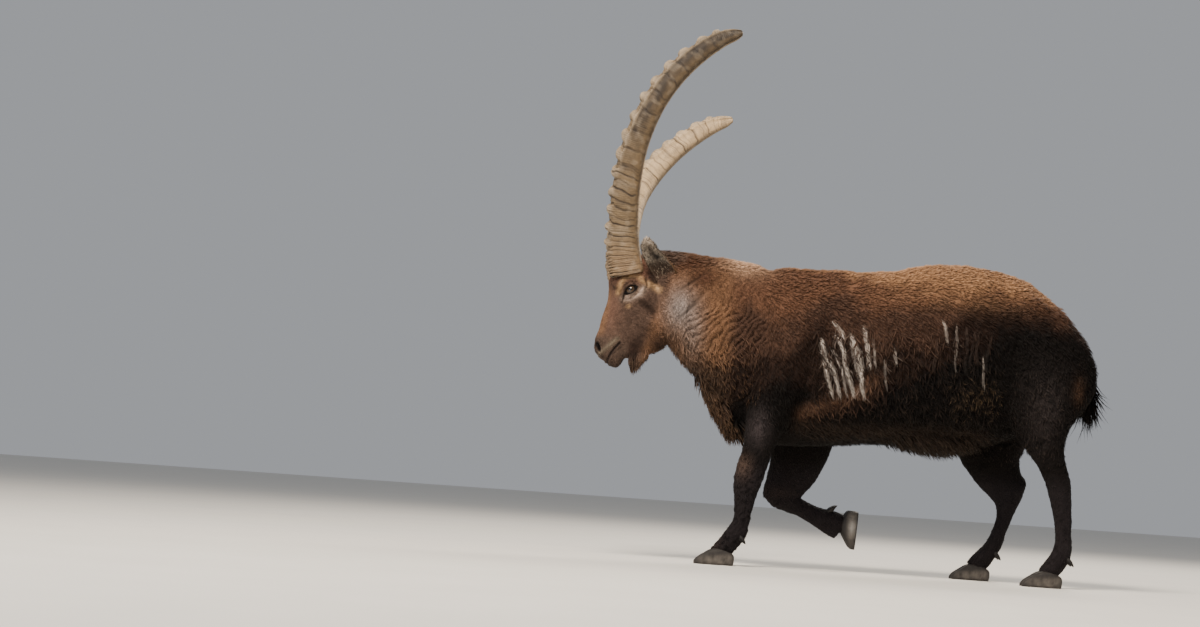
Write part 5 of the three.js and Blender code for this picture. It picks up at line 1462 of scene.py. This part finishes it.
# Hair of the ear: short over its back, longer out from the rim, and pale strands across the cup.
def growEar(side, grid, colours):
    random = np.random.default_rng(coat["seed"] + 300 + side)
    rings, sides = grid.shape[:2]
    count = ear["hairs"]
    i, j = random.integers(3, rings - 2, count), random.integers(0, sides, count)
    angle = j * 2 * np.pi / sides
    rim = bump(np.sin(angle), 0.05, 0.2)
    cup = ramp(0.2, 0.45, np.sin(angle))
    keep = random.random(count) < 0.75 - 0.45 * cup + 0.3 * rim
    i, j, rim, cup = i[keep], j[keep], rim[keep], cup[keep]
    up = grid[np.minimum(i + 1, rings - 1), j] - grid[i - 1, j]
    round_ = grid[i, (j + 1) % sides] - grid[i, (j - 1) % sides]
    normals = unitRows(np.cross(up, round_))
    middle = grid.mean(1)[i]
    normals *= (np.where(((grid[i, j] - middle) * normals).sum(1) < 0, -1, 1)[:, None]
                * np.where(cup > 0.5, -1, 1)[:, None])
    length = 6 + 4 * rim + 7 * cup * random.random(len(i))
    pale = linear(ear["hair"])
    share = (0.6 * cup * (random.random(len(i)) > 0.5) * ramp(0.6, 0.3, i / rings))[:, None]
    base = colours[i * sides + j] * (1 - share) + pale * share
    roots, lies = grid[i, j], unitRows(up) + 0.15 * random.normal(size=(len(i), 3))
    made = makeTufts(roots, normals, lies, length, 1.5 + 0.8 * random.random(len(i)), 0.5, 1.0 + 3.5 * rim
                     + 2.5 * cup,
                     0.15 * length * random.normal(size=len(i)), bends=1, sink=0.8)
    points, triangles, up = made
    if side < 0:
        points, triangles, roots = points * [1, -1, 1], triangles[:, ::-1], roots * [1, -1, 1]
    points = turnHead(points.reshape(-1, 3)).reshape(points.shape)
    tuftPieces("coat_ear_" + sideNames[side], "face_fur", turnHead(roots), (points, triangles, up),
               0.8 + 0.4 * random.random(len(i)), 0.7, 1.2, base=base)


for side in (1, -1):
    growStreaks(side)
    growEar(side, *ears[(1 - side) // 2])


# Camera and studio: the photograph's own lens and place, level floor, soft lights.
camera = {
    "at": (-876.315, -6000.0, 200.0), "target": (-876.315, 0.0, 683.53), "roll": math.radians(4),
    "lens": 63.363}


# The camera at its place, its axis towards the target, its right and up turned by the roll.
def placeCamera():
    made = bpy.data.cameras.new("photo_camera")
    made.lens = camera["lens"]
    made.sensor_fit = "HORIZONTAL"
    made.sensor_width = 36
    made.clip_end = 60
    view = placed("photo_camera", made)
    at = Vector(camera["at"]) / 1000 + Vector(layoutShift)
    forward = (Vector(camera["target"]) / 1000 + Vector(layoutShift) - at).normalized()
    level = forward.cross(Vector((0, 0, 1))).normalized()
    upright = level.cross(forward)
    right = level * math.cos(camera["roll"]) + upright * math.sin(camera["roll"])
    up = -level * math.sin(camera["roll"]) + upright * math.cos(camera["roll"])
    turn = Matrix((right, up, -forward)).transposed()
    view.matrix_world = Matrix.Translation(at) @ turn.to_4x4()
    bpy.context.scene.camera = view


# A square soft light at a place, turned towards its target.
def addLight(name, place, target, size, watts, tint):
    made = bpy.data.lights.new(name, "AREA")
    made.size = size
    made.energy = watts
    made.color = linear(tint)
    light = placed(name, made)
    light.location = place
    light.rotation_euler = (Vector(target) - Vector(place)).to_track_quat("-Z", "Y").to_euler()


studio = {
    "key": ((-1.6, -2.8, 4.9), 1.7, 520, "#fff1de"), "fill": ((-3.4, -4.6, 1.6), 3.2, 80, "#e8f0ff"),
    "rim": ((1.8, 3.2, 4.0), 2.2, 220, "#fff4e4"), "world": "#c9ccd1", "strength": 0.6, "floor": "#dcd9d3",
    "speck": "#d3d0ca", "half": 30, "aim": (0, 0, 0.7)}


# Three soft lights, a pale surrounding light and a level floor.
def buildStudio():
    for name in ("key", "fill", "rim"):
        place, size, watts, tint = studio[name]
        addLight(name, place, studio["aim"], size, watts, tint)
    world = bpy.data.worlds.new("studio")
    world.use_nodes = True
    world.node_tree.nodes["Background"].inputs["Color"].default_value = paint(studio["world"])
    world.node_tree.nodes["Background"].inputs["Strength"].default_value = studio["strength"]
    bpy.context.scene.world = world
    mesh = bpy.data.meshes.new("floor")
    h = studio["half"]
    mesh.from_pydata([(-h, -h, 0), (h, -h, 0), (h, h, 0), (-h, h, 0)], [], [(0, 1, 2, 3)])
    floor = placed("floor", mesh)
    material, tree, surface, place = startMaterial("pale_studio_floor",
                                                   **{"Roughness": 0.9, "Specular IOR Level": 0.2})
    speck = addNode(tree, "TexNoise", inputs={"Scale": 3.0, "Detail": 2.0},
                    links={"Vector": (place, "Object")})
    tone = addNode(tree, "Mix", {"data_type": "RGBA"},
                   inputs={6: paint(studio["floor"]), 7: paint(studio["speck"])},
                   links={0: (speck, "Fac")})
    tree.links.new(tone.outputs[2], surface.inputs["Base Color"])
    mesh.materials.append(material)


placeCamera()
buildStudio()
print("studio")
